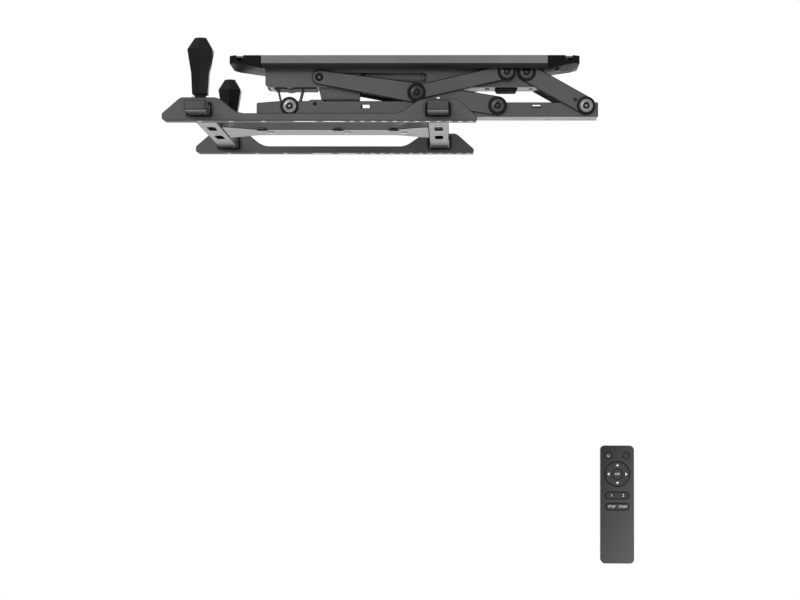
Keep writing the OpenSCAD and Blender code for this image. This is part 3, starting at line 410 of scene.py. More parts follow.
for side in ("near", "far"):
    body = side + "_arm_set"
    arm = finished_copy(
        side + "_arm", side + "_arm_folded", 0.9 * mm, arm_coat, body, edge_shade_coat
    )
    bare_hole_walls(arm, cut_steel)
    finished_copy(side + "_liners", side + "_window_liners", 0.5 * mm, cap_plastic, body)

# Window rims
# A thin grey flange on each liner overlaps the edge of its window in the arm. It is moulded in
# one with the liner, from a harder plastic.
window_w = 40 * mm
window_h = 24 * mm
rim_w = 1.7 * mm
rim_over = 0.8 * mm
rim_sunk = 0.3 * mm
rim_t = 0.7 * mm
rim_corner = 5.4 * mm
upright = Matrix.Rotation(math.pi / 2, 4, "X")
for side in ("near", "far"):
    liner_low, liner_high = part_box(side + "_liners")
    middle_z = (liner_low.z + liner_high.z) / 2
    for end, middle_x in (("left", liner_low.x + window_w / 2), ("right", liner_high.x - window_w / 2)):
        bpy.ops.mesh.primitive_plane_add(size=1)
        rim = added(f"{side}_{end}_window_rim")
        front = Vector((middle_x, liner_low.y + rim_sunk, middle_z))
        size = Matrix.Diagonal((window_w + rim_over, window_h + rim_over, 1, 1))
        rim.data.transform(Matrix.Translation(front) @ upright @ size)
        open_mesh()
        bpy.ops.mesh.bevel(offset=rim_corner, segments=6, affect="VERTICES")
        bpy.ops.mesh.select_mode(type="FACE")
        bpy.ops.mesh.select_all(action="SELECT")
        bpy.ops.mesh.inset(thickness=rim_w)
        bpy.ops.mesh.delete(type="FACE")
        bpy.ops.mesh.select_all(action="SELECT")
        bpy.ops.mesh.extrude_region_move(TRANSFORM_OT_translate={"value": (0, -rim_t, 0)})
        close_mesh()
        round_edges(rim, 0.25 * mm)
        wear(rim, rail_plastic, side + "_arm_set")

# Pivots
# Six pivots a side: a steel pin with a broad turned flange, sunk in a moulded nylon ring and
# closed by a black socket screw. A pin that ends inside the housing or the channel carries a
# thin nut.
sides = (("near", -1), ("far", 1))
joint_place = {joint["name"]: Vector(joint["pos_m"]) for joint in frame["joints"] if "pos_m" in joint}
ring_r = 14.4 * mm
ring_floor = 1.6 * mm
ring_top = 2.8 * mm
pin_r = 4 * mm
face_r = 10.6 * mm
flange_top = 2.4 * mm
screw_r = 5.4 * mm
screw_top = 3.6 * mm


def turned(name, outline, centre, axis, steps=48):
    """A turned piece: a closed outline of radii and heights, spun once about its axis."""
    bpy.ops.mesh.primitive_circle_add(vertices=len(outline), radius=1)
    piece = added(name)
    middle = Vector(centre)
    along = Vector(axis)
    sideways = Vector((0, 0, 1)) if abs(along.x) > 0.5 else Vector((1, 0, 0))
    for corner, (radius, height) in zip(piece.data.vertices, outline):
        corner.co = middle + radius * sideways + height * along
    open_mesh()
    bpy.ops.mesh.spin(steps=steps, angle=2 * math.pi, center=middle, axis=along)
    close_mesh(weld=True)
    bpy.ops.object.shade_smooth_by_angle(angle=math.radians(35))
    return piece


def prism(name, corners, radius, centre, axis, low, high, turn=0):
    """A straight prism with that many corners, from low to high along its axis."""
    bpy.ops.mesh.primitive_cylinder_add(vertices=corners, radius=radius, depth=high - low)
    piece = added(name)
    along = Vector(axis)
    place = Vector(centre) + (low + high) / 2 * along
    stand = along.to_track_quat("Z", "Y").to_matrix().to_4x4()
    piece.data.transform(Matrix.Translation(place) @ stand @ Matrix.Rotation(turn, 4, "Z"))
    return piece


def cut_away(piece, cutter):
    """Cuts one piece out of another, and clears the cutter away."""
    pick(piece)
    cut = piece.modifiers.new("cut", "BOOLEAN")
    cut.operation = "DIFFERENCE"
    cut.solver = "EXACT"
    cut.object = cutter
    bpy.ops.object.modifier_apply(modifier="cut")
    bpy.data.objects.remove(cutter, do_unlink=True)


def placed_copy(pattern, name, place, turn=0.0):
    """A copy of a pattern with its own mesh, turned about Z and set at a place."""
    piece = pattern.copy()
    piece.data = pattern.data.copy()
    piece.name = name
    bpy.context.scene.collection.objects.link(piece)
    piece.data.transform(Matrix.Translation(place) @ Matrix.Rotation(turn, 4, "Z"))
    return piece


def rings_about(shader, centre, axis, scale):
    """Concentric turning marks about an axis through a point."""
    tree = shader.id_data
    marks = tree.nodes.new("ShaderNodeTexWave")
    marks.wave_type = "RINGS"
    marks.rings_direction = axis
    marks.inputs["Scale"].default_value = scale
    marks.inputs["Distortion"].default_value = 0.6
    marks.inputs["Detail"].default_value = 2
    tree.links.new(object_place(shader, tuple(-c for c in centre)), marks.inputs["Vector"])
    return marks


def turned_steel(name, centre, axis, tone, roughness=0.3):
    """Machined steel with fine rings left by the lathe."""
    material, shader = new_finish(name, 1.0, roughness)
    dark = tuple(0.8 * c for c in tone)
    vary_colour(shader, object_noise(shader, 300, 3), dark, tone)
    marks = rings_about(shader, centre, axis, 420)
    vary_roughness(shader, marks, roughness - 0.05, roughness + 0.12)
    add_grain(shader, marks, 0.02 * mm, 0.2)
    return material


ring_nylon = moulded_plastic("black_ring_nylon", (0.005, 0.005, 0.006), 0.42, 0.05 * mm, 0.12)
ring_pattern = turned(
    "ring_pattern",
    [
        (pin_r + 0.1 * mm, 0), (ring_r - 0.3 * mm, 0), (ring_r, 0.3 * mm),
        (ring_r, ring_floor - 0.4 * mm), (ring_r - 0.4 * mm, ring_floor),
        (ring_r - 0.9 * mm, ring_floor + 0.15 * mm), (ring_r - 1.0 * mm, ring_top - 0.3 * mm),
        (ring_r - 1.3 * mm, ring_top), (face_r + 0.4 * mm, ring_top),
        (face_r + 0.15 * mm, ring_top - 0.25 * mm), (face_r + 0.1 * mm, ring_floor),
        (pin_r + 0.1 * mm, ring_floor),
    ],
    (0, 0, 0), (0, -1, 0), 64,
)
hex_r = 2.6 * mm
hex_depth = 2 * mm
screw_black = plated_steel("black_oxide_steel", (0.014, 0.014, 0.015), 0.34)
screw_pattern = turned(
    "screw_pattern",
    [
        (0, flange_top - 0.6 * mm), (screw_r - 0.6 * mm, flange_top - 0.6 * mm),
        (screw_r - 0.5 * mm, flange_top), (screw_r, flange_top + 0.15 * mm),
        (screw_r, screw_top - 0.45 * mm), (screw_r - 0.15 * mm, screw_top - 0.2 * mm),
        (screw_r - 0.55 * mm, screw_top), (0, screw_top),
    ],
    (0, 0, 0), (0, -1, 0),
)
hex_cutter = prism("hex_cutter", 6, hex_r, (0, 0, 0), (0, -1, 0), screw_top - hex_depth, screw_top + 1 * mm)
cut_away(screw_pattern, hex_cutter)


def pivot(name, place, seat, pin_end, tone, body, group):
    """The ring, flanged pin and screw of one pivot, on the faces that lie seat from the middle."""
    steel = turned_steel(name + "_steel", place, "Y", tone)
    pin_low = pin_end - seat
    pin_outline = [
        (0, pin_low), (pin_r - 0.4 * mm, pin_low), (pin_r, pin_low + 0.4 * mm), (pin_r, ring_floor),
        (face_r - 0.2 * mm, ring_floor), (face_r, ring_floor + 0.2 * mm),
        (face_r, flange_top - 0.3 * mm), (face_r - 0.4 * mm, flange_top),
        (face_r - 1.1 * mm, flange_top), (face_r - 1.3 * mm, flange_top - 0.25 * mm),
        (screw_r + 1.0 * mm, flange_top - 0.25 * mm), (screw_r + 0.6 * mm, flange_top), (0, flange_top),
    ]
    for side, out in sides:
        label = f"{side}_{name}"
        face = Vector((place.x, out * seat, place.z))
        turn = 0 if out < 0 else math.pi
        ring = placed_copy(ring_pattern, label + "_ring", face, turn)
        wear(ring, ring_nylon, body, group + "_rings")
        pin = turned(label + "_pin", pin_outline, face, (0, out, 0), 64)
        wear(pin, steel, body, group + "_bolts")
        screw = placed_copy(screw_pattern, label + "_screw", face, turn)
        wear(screw, screw_black, body, group + "_bolts")


def box_middle(node):
    """The middle of a frame piece's box."""
    low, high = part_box(node)
    return (low + high) / 2


rocker_top = joint_place["fold"]
rocker_end = joint_place["bar_fold"]
bar_end = joint_place["channel_fold"]
tail_top = joint_place["tail_fold"]
tail_end = box_middle("tail_rings")
free_end = joint_place["sheave_spin"]
# Distances from the mount's middle plane: where the rings are seated, and where the pins end
outer_seat = 31.3 * mm
middle_seat = 26.8 * mm
tail_seat = 26.5 * mm
frame_seat = 22 * mm
pale_tone = (0.24, 0.24, 0.245)
dull_tone = (0.075, 0.075, 0.077)
dark_tone = (0.045, 0.045, 0.047)
nut_seat = 20 * mm
nut_t = 2.4 * mm
short_pin = nut_seat - nut_t + 0.5 * mm
long_pin = 22.5 * mm
pivot("rocker_top", rocker_top, outer_seat, short_pin, dull_tone, "base", "base")
pivot("tail_top", tail_top, middle_seat, short_pin, dull_tone, "base", "base")
pivot("rocker_end", rocker_end, outer_seat, long_pin, dark_tone, "lift_bars", "middle")
pivot("bar_end", bar_end, middle_seat, short_pin, dull_tone, "lift_bars", "middle")
pivot("tail_end", tail_end, tail_seat, long_pin, pale_tone, "tail_links", "tail")
pivot("free_end", free_end, frame_seat, frame_seat, pale_tone, "swing_frame", "channel")
bpy.data.objects.remove(ring_pattern, do_unlink=True)
bpy.data.objects.remove(screw_pattern, do_unlink=True)

# Pin nuts
# Thin hexagon nuts on the inner ends of the pins, with chamfered corners. They are cut from
# steel bar and plated.
nut_r = 6 * mm
nut_bore = 3.95 * mm
for name, place, body in (
    ("rocker_top", rocker_top, "base"),
    ("tail_top", tail_top, "base"),
    ("bar_end", bar_end, "lift_bars"),
):
    for side, out in sides:
        middle = (place.x, 0, place.z)
        along = (0, out, 0)
        nut = prism(f"{side}_{name}_nut", 6, nut_r, middle, along, nut_seat - nut_t, nut_seat)
        cut_away(nut, prism("bore", 32, nut_bore, middle, along, nut_seat - 2 * nut_t, nut_seat + nut_t))
        round_edges(nut, 0.35 * mm)
        wear(nut, bright_zinc, body)

# Sliders
# A shouldered bolt on each lift bar's round end runs in the housing's slot. It has a black
# nylon collar, a blackened head with a hexagon recess, and a retaining washer inside.
slider = box_middle("slider_bolts")
slider_washer = 18.3 * mm
slider_seat = 26.5 * mm
slider_top = 29.1 * mm
slider_head_r = 6.2 * mm
washer_r = 9 * mm
shank_r = 4.5 * mm
recess_depth = 1.6 * mm
bolt_outline = [
    (0, slider_washer), (washer_r, slider_washer), (washer_r, slider_washer + 1.0 * mm),
    (washer_r - 0.2 * mm, slider_washer + 1.2 * mm), (shank_r, slider_washer + 1.2 * mm),
    (shank_r, slider_seat),
    (slider_head_r - 1.5 * mm, slider_seat), (slider_head_r - 1.3 * mm, slider_top - 0.7 * mm),
    (slider_head_r - 2.0 * mm, slider_top - 0.1 * mm), (0, slider_top - 0.1 * mm),
]
collar_outline = [
    (slider_head_r - 1.2 * mm, slider_seat), (slider_head_r, slider_seat),
    (slider_head_r, slider_top - 0.6 * mm), (slider_head_r - 0.6 * mm, slider_top),
    (slider_head_r - 1.2 * mm, slider_top),
]
dull_steel = turned_steel("dull_steel", slider, "Y", (0.10, 0.10, 0.102))
for side, out in sides:
    middle = (slider.x, 0, slider.z)
    along = (0, out, 0)
    bolt = turned(side + "_slider_bolt", bolt_outline, middle, along)
    recess = prism("recess", 6, hex_r, middle, along, slider_top - recess_depth, slider_top + 1 * mm)
    cut_away(bolt, recess)
    wear(bolt, screw_black, "lift_bars", "slider_bolts")
    bolt.data.materials.append(dull_steel)
    for face in bolt.data.polygons:
        reach = math.hypot(face.center.x - slider.x, face.center.z - slider.z)
        below_top = slider_top - abs(face.center.y)
        if reach < hex_r + 0.1 * mm and 0.2 * mm < below_top < recess_depth + 0.2 * mm:
            face.material_index = 1
    collar = turned(side + "_slider_collar", collar_outline, middle, along)
    wear(collar, ring_nylon, "lift_bars")

# Channel side screws
# A small black screw in each side of the swing channel, near its sheave end. It is cold-formed
# from steel and blackened, with a low round head and a hexagon recess.
side_screw = Vector((free_end.x + 39.5 * mm, 0, free_end.z + 3.5 * mm))
side_screw_outline = [
    (0, -1 * mm), (2.8 * mm, -1 * mm), (3 * mm, 0.2 * mm), (2.7 * mm, 1.1 * mm), (2 * mm, 1.5 * mm),
    (0, 1.5 * mm),
]
for side, out in sides:
    face = Vector((side_screw.x, out * frame_seat, side_screw.z))
    along = (0, out, 0)
    screw = turned(side + "_channel_screw", side_screw_outline, face, along, 32)
    cut_away(screw, prism("recess", 6, 1.4 * mm, face, along, 0.6 * mm, 2.5 * mm))
    wear(screw, screw_black, "swing_frame")

# Sheaves
# Two grooved wheels of black acetal at the channel's free end, under which the ropes pass.
# They turn on a steel axle between loose sleeves.
rope_y = 11.5 * mm
rope_r = 1.2 * mm
sheave_w = 6 * mm
sheave_r = 14.2 * mm
axle_r = 4 * mm
wheel_bore = axle_r + 0.06 * mm
wrap_r = 12.5 * mm
groove_r = rope_r + 0.2 * mm
groove_arc = [math.pi * k / 8 for k in range(9)]
groove = [(wrap_r - groove_r * math.sin(a), groove_r * math.cos(a)) for a in groove_arc]
flank = [
    (wheel_bore, -sheave_w / 2), (wheel_bore, sheave_w / 2), (6.6 * mm, sheave_w / 2),
    (7.2 * mm, sheave_w / 2 - 0.9 * mm), (9.6 * mm, sheave_w / 2 - 0.9 * mm),
    (10.2 * mm, sheave_w / 2), (sheave_r - 0.3 * mm, sheave_w / 2),
    (sheave_r, sheave_w / 2 - 0.4 * mm), (sheave_r, 1.75 * mm),
]
other_flank = [(radius, -height) for radius, height in reversed(flank[1:])]
for side, out in sides:
    middle = Vector((free_end.x, out * rope_y, free_end.z))
    sheave = turned(side + "_sheave", flank + groove + other_flank, middle, (0, 1, 0), 56)
    wear(sheave, cap_plastic, "sheaves", "lift_sheaves")


def barrel(bore, radius, low, high, edge):
    """The outline of a turned sleeve with broken edges, or of a pin where there is no bore."""
    return [
        (bore, low), (radius - edge, low), (radius, low + edge), (radius, high - edge),
        (radius - edge, high), (bore, high),
    ]


axle_steel = turned_steel("axle_steel", free_end, "Y", (0.5, 0.5, 0.52))
axle_middle = (free_end.x, 0, free_end.z)
axle_end = 22 * mm
axle_outline = barrel(0, axle_r, -axle_end, axle_end, 0.4 * mm)
axle = turned("sheave_axle_pin", axle_outline, axle_middle, (0, 1, 0))
wear(axle, axle_steel, "swing_frame", "sheave_axle")
sleeve_r = 6.5 * mm
sleeve_gap = 0.3 * mm
for name, low, high in (
    ("near_sleeve", -nut_seat, -rope_y - sheave_w / 2 - sleeve_gap),
    ("middle_sleeve", -rope_y + sheave_w / 2 + sleeve_gap, rope_y - sheave_w / 2 - sleeve_gap),
    ("far_sleeve", rope_y + sheave_w / 2 + sleeve_gap, nut_seat),
):
    sleeve_outline = barrel(axle_r + 0.05 * mm, sleeve_r, low, high, 0.3 * mm)
    sleeve = turned(name, sleeve_outline, axle_middle, (0, 1, 0))
    wear(sleeve, axle_steel, "swing_frame")

# Winding drum
# A steel shaft with two spools across the housing, turned by the gear case. Nearly three turns
# of rope lie on each spool, and the shaft runs in two flanged bronze bushes.
drum = joint_place["drum_spin"]
drum_steel = turned_steel("drum_steel", drum, "Y", (0.42, 0.42, 0.43), 0.36)
shaft_r = 4 * mm
shaft_end = 19.8 * mm
core_r = 11 * mm
cheek_r = 15.5 * mm
cheek_t = 1.4 * mm
spool_in = 5.2 * mm
spool_out = 17.2 * mm
drum_middle = (drum.x, 0, drum.z)
shaft_outline = barrel(0, shaft_r, -shaft_end, shaft_end, 0.4 * mm)
shaft = turned("drum_shaft", shaft_outline, drum_middle, (0, 1, 0))
wear(shaft, drum_steel, "drum", "winding_drum")
strand_points = 24
strand_groove = 0.16
strand_flat = 0.02


def rope_tube(name, route, twist_pitch):
    """A six-strand rope swept along a route of points, with its strands twisted about it."""
    bpy.ops.curve.primitive_bezier_circle_add(radius=1)
    section = bpy.context.object
    bpy.ops.object.mode_set(mode="EDIT")
    bpy.ops.curve.delete(type="VERT")
    bpy.ops.object.mode_set(mode="OBJECT")
    lobes = section.data.splines.new("POLY")
    lobes.points.add(strand_points - 1)
    for k, point in enumerate(lobes.points):
        reach = rope_r * (1 - strand_groove * (k % 4 == 0) - strand_flat * (k % 4 == 2))
        angle = 2 * math.pi * k / strand_points
        point.co = (reach * math.cos(angle), reach * math.sin(angle), 0, 1)
    lobes.use_cyclic_u = True
    bpy.ops.curve.primitive_bezier_curve_add()
    rope = added(name)
    bpy.ops.object.mode_set(mode="EDIT")
    bpy.ops.curve.delete(type="VERT")
    bpy.ops.object.mode_set(mode="OBJECT")
    line = rope.data.splines.new("POLY")
    line.points.add(len(route) - 1)
    travelled = 0.0
    for k, point in enumerate(line.points):
        if k:
            travelled += (Vector(route[k]) - Vector(route[k - 1])).length
        point.co = (*route[k], 1)
        point.tilt = 2 * math.pi * travelled / twist_pitch
    rope.data.dimensions = "3D"
    rope.data.twist_mode = "MINIMUM"
    rope.data.bevel_mode = "OBJECT"
    rope.data.bevel_object = section
    rope.data.use_fill_caps = True
    pick(rope)
    bpy.ops.object.convert(target="MESH")
    bpy.data.objects.remove(section, do_unlink=True)
    bpy.ops.object.mode_set(mode="EDIT")
    close_mesh(weld=True)
    bpy.ops.object.shade_smooth_by_angle(angle=math.radians(50))
    return rope


def wire_rope(name, tone):
    """Galvanised wire rope: grey, with darker patches at random in its tone and a fine grain."""
    material, shader = new_finish(name, 1.0, 0.42)
    dark = tuple(0.45 * c for c in tone)
    vary_colour(shader, object_noise(shader, 900, 3), dark, tone)
    vary_roughness(shader, object_noise(shader, 500, 3), 0.36, 0.56)
    add_grain(shader, object_noise(shader, 2600), 0.05 * mm, 0.7)
    return material


rope_wire = wire_rope("galvanised_rope", (0.12, 0.12, 0.125))
bush_bronze = turned_steel("bush_bronze", drum, "Y", (0.42, 0.27, 0.13), 0.38)
turns = 2.75
turn_points = 36
strand_twist = 16 * mm
coil_r = core_r + rope_r
cheek_bore = shaft_r + 0.02 * mm
inner_cheek = barrel(cheek_bore, cheek_r, spool_in, spool_in + cheek_t, 0.3 * mm)
outer_cheek = barrel(cheek_bore, cheek_r, spool_out - cheek_t, spool_out, 0.3 * mm)
core = [(core_r, spool_in + cheek_t), (core_r, spool_out - cheek_t)]
spool_outline = inner_cheek[:-1] + core + outer_cheek[1:]
bush_in = 17.8 * mm
bush_out = 20 * mm
bush_outline = barrel(shaft_r + 0.06 * mm, 7.5 * mm, bush_in, bush_out, 0.3 * mm)
coil_start = spool_in + cheek_t + rope_r
coil_step = (spool_out - spool_in - 2 * cheek_t - 2 * rope_r) / turns
for side, out in sides:
    spool = turned(side + "_spool", spool_outline, drum_middle, (0, out, 0), 64)
    wear(spool, drum_steel, "drum", "winding_drum")
    route = []
    for k in range(int(turn_points * turns) + 1):
        angle = 2 * math.pi * k / turn_points
        route.append(
            (
                drum.x + coil_r * math.cos(angle),
                out * (coil_start + coil_step * k / turn_points),
                drum.z + coil_r * math.sin(angle),
            )
        )
    winding = rope_tube(side + "_rope_winding", route, strand_twist)
    wear(winding, rope_wire, "drum")
    bush = turned(side + "_drum_bush", bush_outline, drum_middle, (0, out, 0))
    wear(bush, bush_bronze, "base", "drum_bushes")

# Rope guide
# A black nylon tray under the housing's floor, moulded with the drum's belly guard and four
# eyelets through which the ropes leave.
finished_copy("rope_eyelets", "rope_guide_moulding", 0.3 * mm, ring_nylon, "base")

# Lifting ropes
# Two steel ropes hang from the eyelets and pass under the sheaves at the channel's free end,
# so that they carry it as it swings down.
rope_exit_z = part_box("ropes")[1].z
fall_x = 20 * mm
fall_turn = math.atan2(rope_exit_z - free_end.z, fall_x) - math.acos(
    wrap_r / math.hypot(fall_x, rope_exit_z - free_end.z)
)
fall_points = 36
loop_points = 30
for side, out in sides:
    wheel = Vector((free_end.x, out * rope_y, free_end.z))
    left_lift = Vector((free_end.x - fall_x, out * rope_y, rope_exit_z))
    right_lift = Vector((free_end.x + fall_x, out * rope_y, rope_exit_z))
    loop = []
    for k in range(loop_points + 1):
        angle = math.pi - fall_turn + (math.pi + 2 * fall_turn) * k / loop_points
        loop.append(wheel + wrap_r * Vector((math.cos(angle), 0, math.sin(angle))))
    down = [left_lift.lerp(loop[0], k / fall_points) for k in range(fall_points)]
    up = [loop[-1].lerp(right_lift, k / fall_points) for k in range(1, fall_points + 1)]
    rope = rope_tube(side + "_lifting_rope", [tuple(p) for p in down + loop + up], strand_twist)
    rope.data.materials.clear()
    rope.data.materials.append(rope_wire)
    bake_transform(rope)
    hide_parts("ropes")

# Gear motor
# A tubular motor lies along the housing, end to end with the gear case. Its steel can is
# painted dark grey, with a rolled seam at each end and a bearing boss on its tail.
motor_low, motor_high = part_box("gearmotor")
motor_z = (motor_low.z + motor_high.z) / 2
motor_r = (motor_high.z - motor_low.z) / 2
motor_paint = powder_coat("motor_paint", (0.10, 0.10, 0.102), 0.4)
motor_start = motor_low.x
motor_tail = motor_high.x
motor = turned(
    "gear_motor_can",
    [
        (0, motor_start), (motor_r - 4 * mm, motor_start), (motor_r - 4 * mm, motor_start + 6 * mm),
        (motor_r - 0.6 * mm, motor_start + 6 * mm), (motor_r, motor_start + 6.6 * mm),
        (motor_r, motor_start + 12 * mm), (motor_r - 0.8 * mm, motor_start + 12.8 * mm),
        (motor_r - 0.8 * mm, motor_start + 14.2 * mm), (motor_r, motor_start + 15 * mm),
        (motor_r, motor_tail - 25 * mm), (motor_r - 0.8 * mm, motor_tail - 24.2 * mm),
        (motor_r - 0.8 * mm, motor_tail - 22.8 * mm), (motor_r, motor_tail - 22 * mm),
        (motor_r, motor_tail - 18.8 * mm), (motor_r - 2 * mm, motor_tail - 18 * mm),
        (motor_r - 2 * mm, motor_tail - 5 * mm), (motor_r - 3 * mm, motor_tail - 4 * mm),
        (4 * mm, motor_tail - 4 * mm), (4 * mm, motor_tail - 0.4 * mm), (3.6 * mm, motor_tail),
        (0, motor_tail),
    ],
    (0, 0, motor_z), (1, 0, 0), 64,
)
wear(motor, motor_paint, "base", "gearmotor")

# Control board
# A green circuit board of glass and resin, hung on four posts past the motor's tail. It carries
# four sleeved capacitors, a relay in a moulded case and a pale plug.
board_low, board_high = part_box("control_board")
board_under = board_low.z + 7.3 * mm
board_top = board_under + 1.6 * mm
board_edge = 17 * mm
board_green = moulded_plastic("board_solder_mask", (0.012, 0.09, 0.035), 0.3)
relay_plastic = moulded_plastic("relay_case_plastic", (0.012, 0.014, 0.022), 0.4)
plug_plastic = moulded_plastic("pale_plug_nylon", (0.55, 0.54, 0.50), 0.45)
can_sleeve = moulded_plastic("can_sleeve_film", (0.008, 0.010, 0.030), 0.25, 0.02 * mm, 0.5)


def board_block(name, low, high, edge, finish):
    """A block with rounded edges, placed from the board's corner, that stands for a part of it."""
    bpy.ops.mesh.primitive_cube_add(size=1)
    piece = added(name)
    size = Vector(high) - Vector(low)
    middle = (Vector(high) + Vector(low)) / 2 + Vector((board_low.x, 0, 0))
    piece.data.transform(Matrix.Translation(middle) @ Matrix.Diagonal((*size, 1)))
    round_edges(piece, edge)
    wear(piece, finish, "base", "control_board")
    return piece


board_length = board_high.x - board_low.x
board_block(
    "circuit_board",
    (0, -board_edge, board_under),
    (board_length, board_edge, board_top),
    0.15 * mm,
    board_green,
)
board_block(
    "board_relay",
    (58 * mm, -8 * mm, board_low.z + 1.5 * mm),
    (72 * mm, 8 * mm, board_under),
    0.5 * mm,
    relay_plastic,
)
plug = board_block(
    "board_plug",
    (78 * mm, -14 * mm, board_low.z),
    (88 * mm, 2 * mm, board_under),
    0.3 * mm,
    plug_plastic,
)
way_low = board_low.z - 1 * mm
way_high = board_under - 2 * mm
for k in range(4):
    way = Vector((board_low.x + 83 * mm, (-12 + 4 * k) * mm, 0))
    cut_away(plug, prism("way", 4, 1.9 * mm, way, (0, 0, 1), way_low, way_high, math.pi / 4))
for k in range(4):
    can = turned(
        f"board_capacitor_{k + 1}",
        [
            (0, board_under), (3.2 * mm, board_under), (3.2 * mm, board_low.z + 1.6 * mm),
            (2.9 * mm, board_low.z + 1.2 * mm), (3.2 * mm, board_low.z + 0.8 * mm),
            (2.9 * mm, board_low.z + 0.1 * mm), (2.3 * mm, board_low.z),
            (2.2 * mm, board_low.z + 0.2 * mm), (0, board_low.z + 0.2 * mm),
        ],
        (board_low.x + (12 + 12 * k) * mm, -9 * mm, 0), (0, 0, 1), 32,
    )
    wear(can, can_sleeve, "base")
    can.data.materials.append(bright_zinc)
    for face in can.data.polygons:
        if face.center.z < board_low.z + 0.3 * mm and face.normal.z < -0.9:
            face.material_index = 1
    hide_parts("control_board")
for k in range(4):
    post_x = board_low.x + 4 * mm if k % 2 else board_high.x - 4 * mm
    post_y = 14 * mm if k < 2 else -14 * mm
    post = turned(
        f"board_post_{k + 1}",
        [
            (0, board_top), (2 * mm, board_top), (2 * mm, board_high.z - 0.3 * mm),
            (1.7 * mm, board_high.z), (0, board_high.z),
        ],
        (post_x, post_y, 0), (0, 0, 1), 24,
    )
    wear(post, bright_zinc, "base", "control_board")

# Receiver window
# A dark red lens under the right end cap, through which the remote control's signal passes.
# It is a moulded acrylic dome with a thin rim.
lens_low, lens_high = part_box("receiver_window")
lens_middle = (lens_low + lens_high) / 2
lens_red, lens_shader = new_finish("dark_red_acrylic", 0.0, 0.08)
lens_noise = object_noise(lens_shader, 300)
vary_colour(lens_shader, lens_noise, (0.008, 0.001, 0.001), (0.014, 0.001, 0.001))
lens_shader.inputs["Coat Weight"].default_value = 0.6
lens_r = (lens_high.x - lens_low.x) / 2
lens = turned(
    "receiver_lens",
    [
        (0, lens_high.z), (lens_r, lens_high.z), (lens_r, lens_low.z + 1.2 * mm),
        (0.9 * lens_r, lens_low.z + 1.1 * mm), (0.88 * lens_r, lens_low.z + 0.9 * mm),
        (0.65 * lens_r, lens_low.z + 0.35 * mm), (0.35 * lens_r, lens_low.z + 0.08 * mm),
        (0, lens_low.z),
    ],
    (lens_middle.x, lens_middle.y, 0), (0, 0, 1),
)
wear(lens, lens_red, "base", "receiver_window")

# Power socket
# A round low-voltage socket in the left cap's face: a moulded barrel with a flat nut behind
# the face and a steel pin in its middle.
inlet_low, inlet_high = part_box("power_inlet")
inlet_middle = (inlet_low + inlet_high) / 2
socket_plastic = moulded_plastic("socket_plastic", (0.010, 0.010, 0.011), 0.35)
finished_copy("power_inlet", "power_socket_barrel", 0.25 * mm, socket_plastic, "base")
inlet_pin = turned(
    "power_socket_pin",
    [
        (0, inlet_low.x + 3 * mm), (0.6 * mm, inlet_low.x + 3 * mm), (1.0 * mm, inlet_low.x + 3.6 * mm),
        (1.0 * mm, inlet_high.x - 1.2 * mm), (0, inlet_high.x - 1.2 * mm),
    ],
    (0, inlet_middle.y, inlet_middle.z), (1, 0, 0), 24,
)
wear(inlet_pin, bright_zinc, "base")

# Rubber stop
# A moulded block of matt black rubber, glued under the housing above the folded channel. Its
# edges are softly rounded.
stop_rubber = moulded_plastic("matt_black_rubber", (0.010, 0.010, 0.010), 0.75, 0.08 * mm)
finished_copy("rubber_stop", "rubber_stop_block", 0.9 * mm, stop_rubber, "base")

# Clamp knobs
# A tall six-sided knob on each arm turns a steel screw that locks the arm on its rail. The
# knob is moulded in satin black plastic, and a turned collar keeps it clear of the arm.
knob_plastic = moulded_plastic("satin_knob_plastic", (0.005, 0.005, 0.006), 0.3, 0.03 * mm, 0.12)
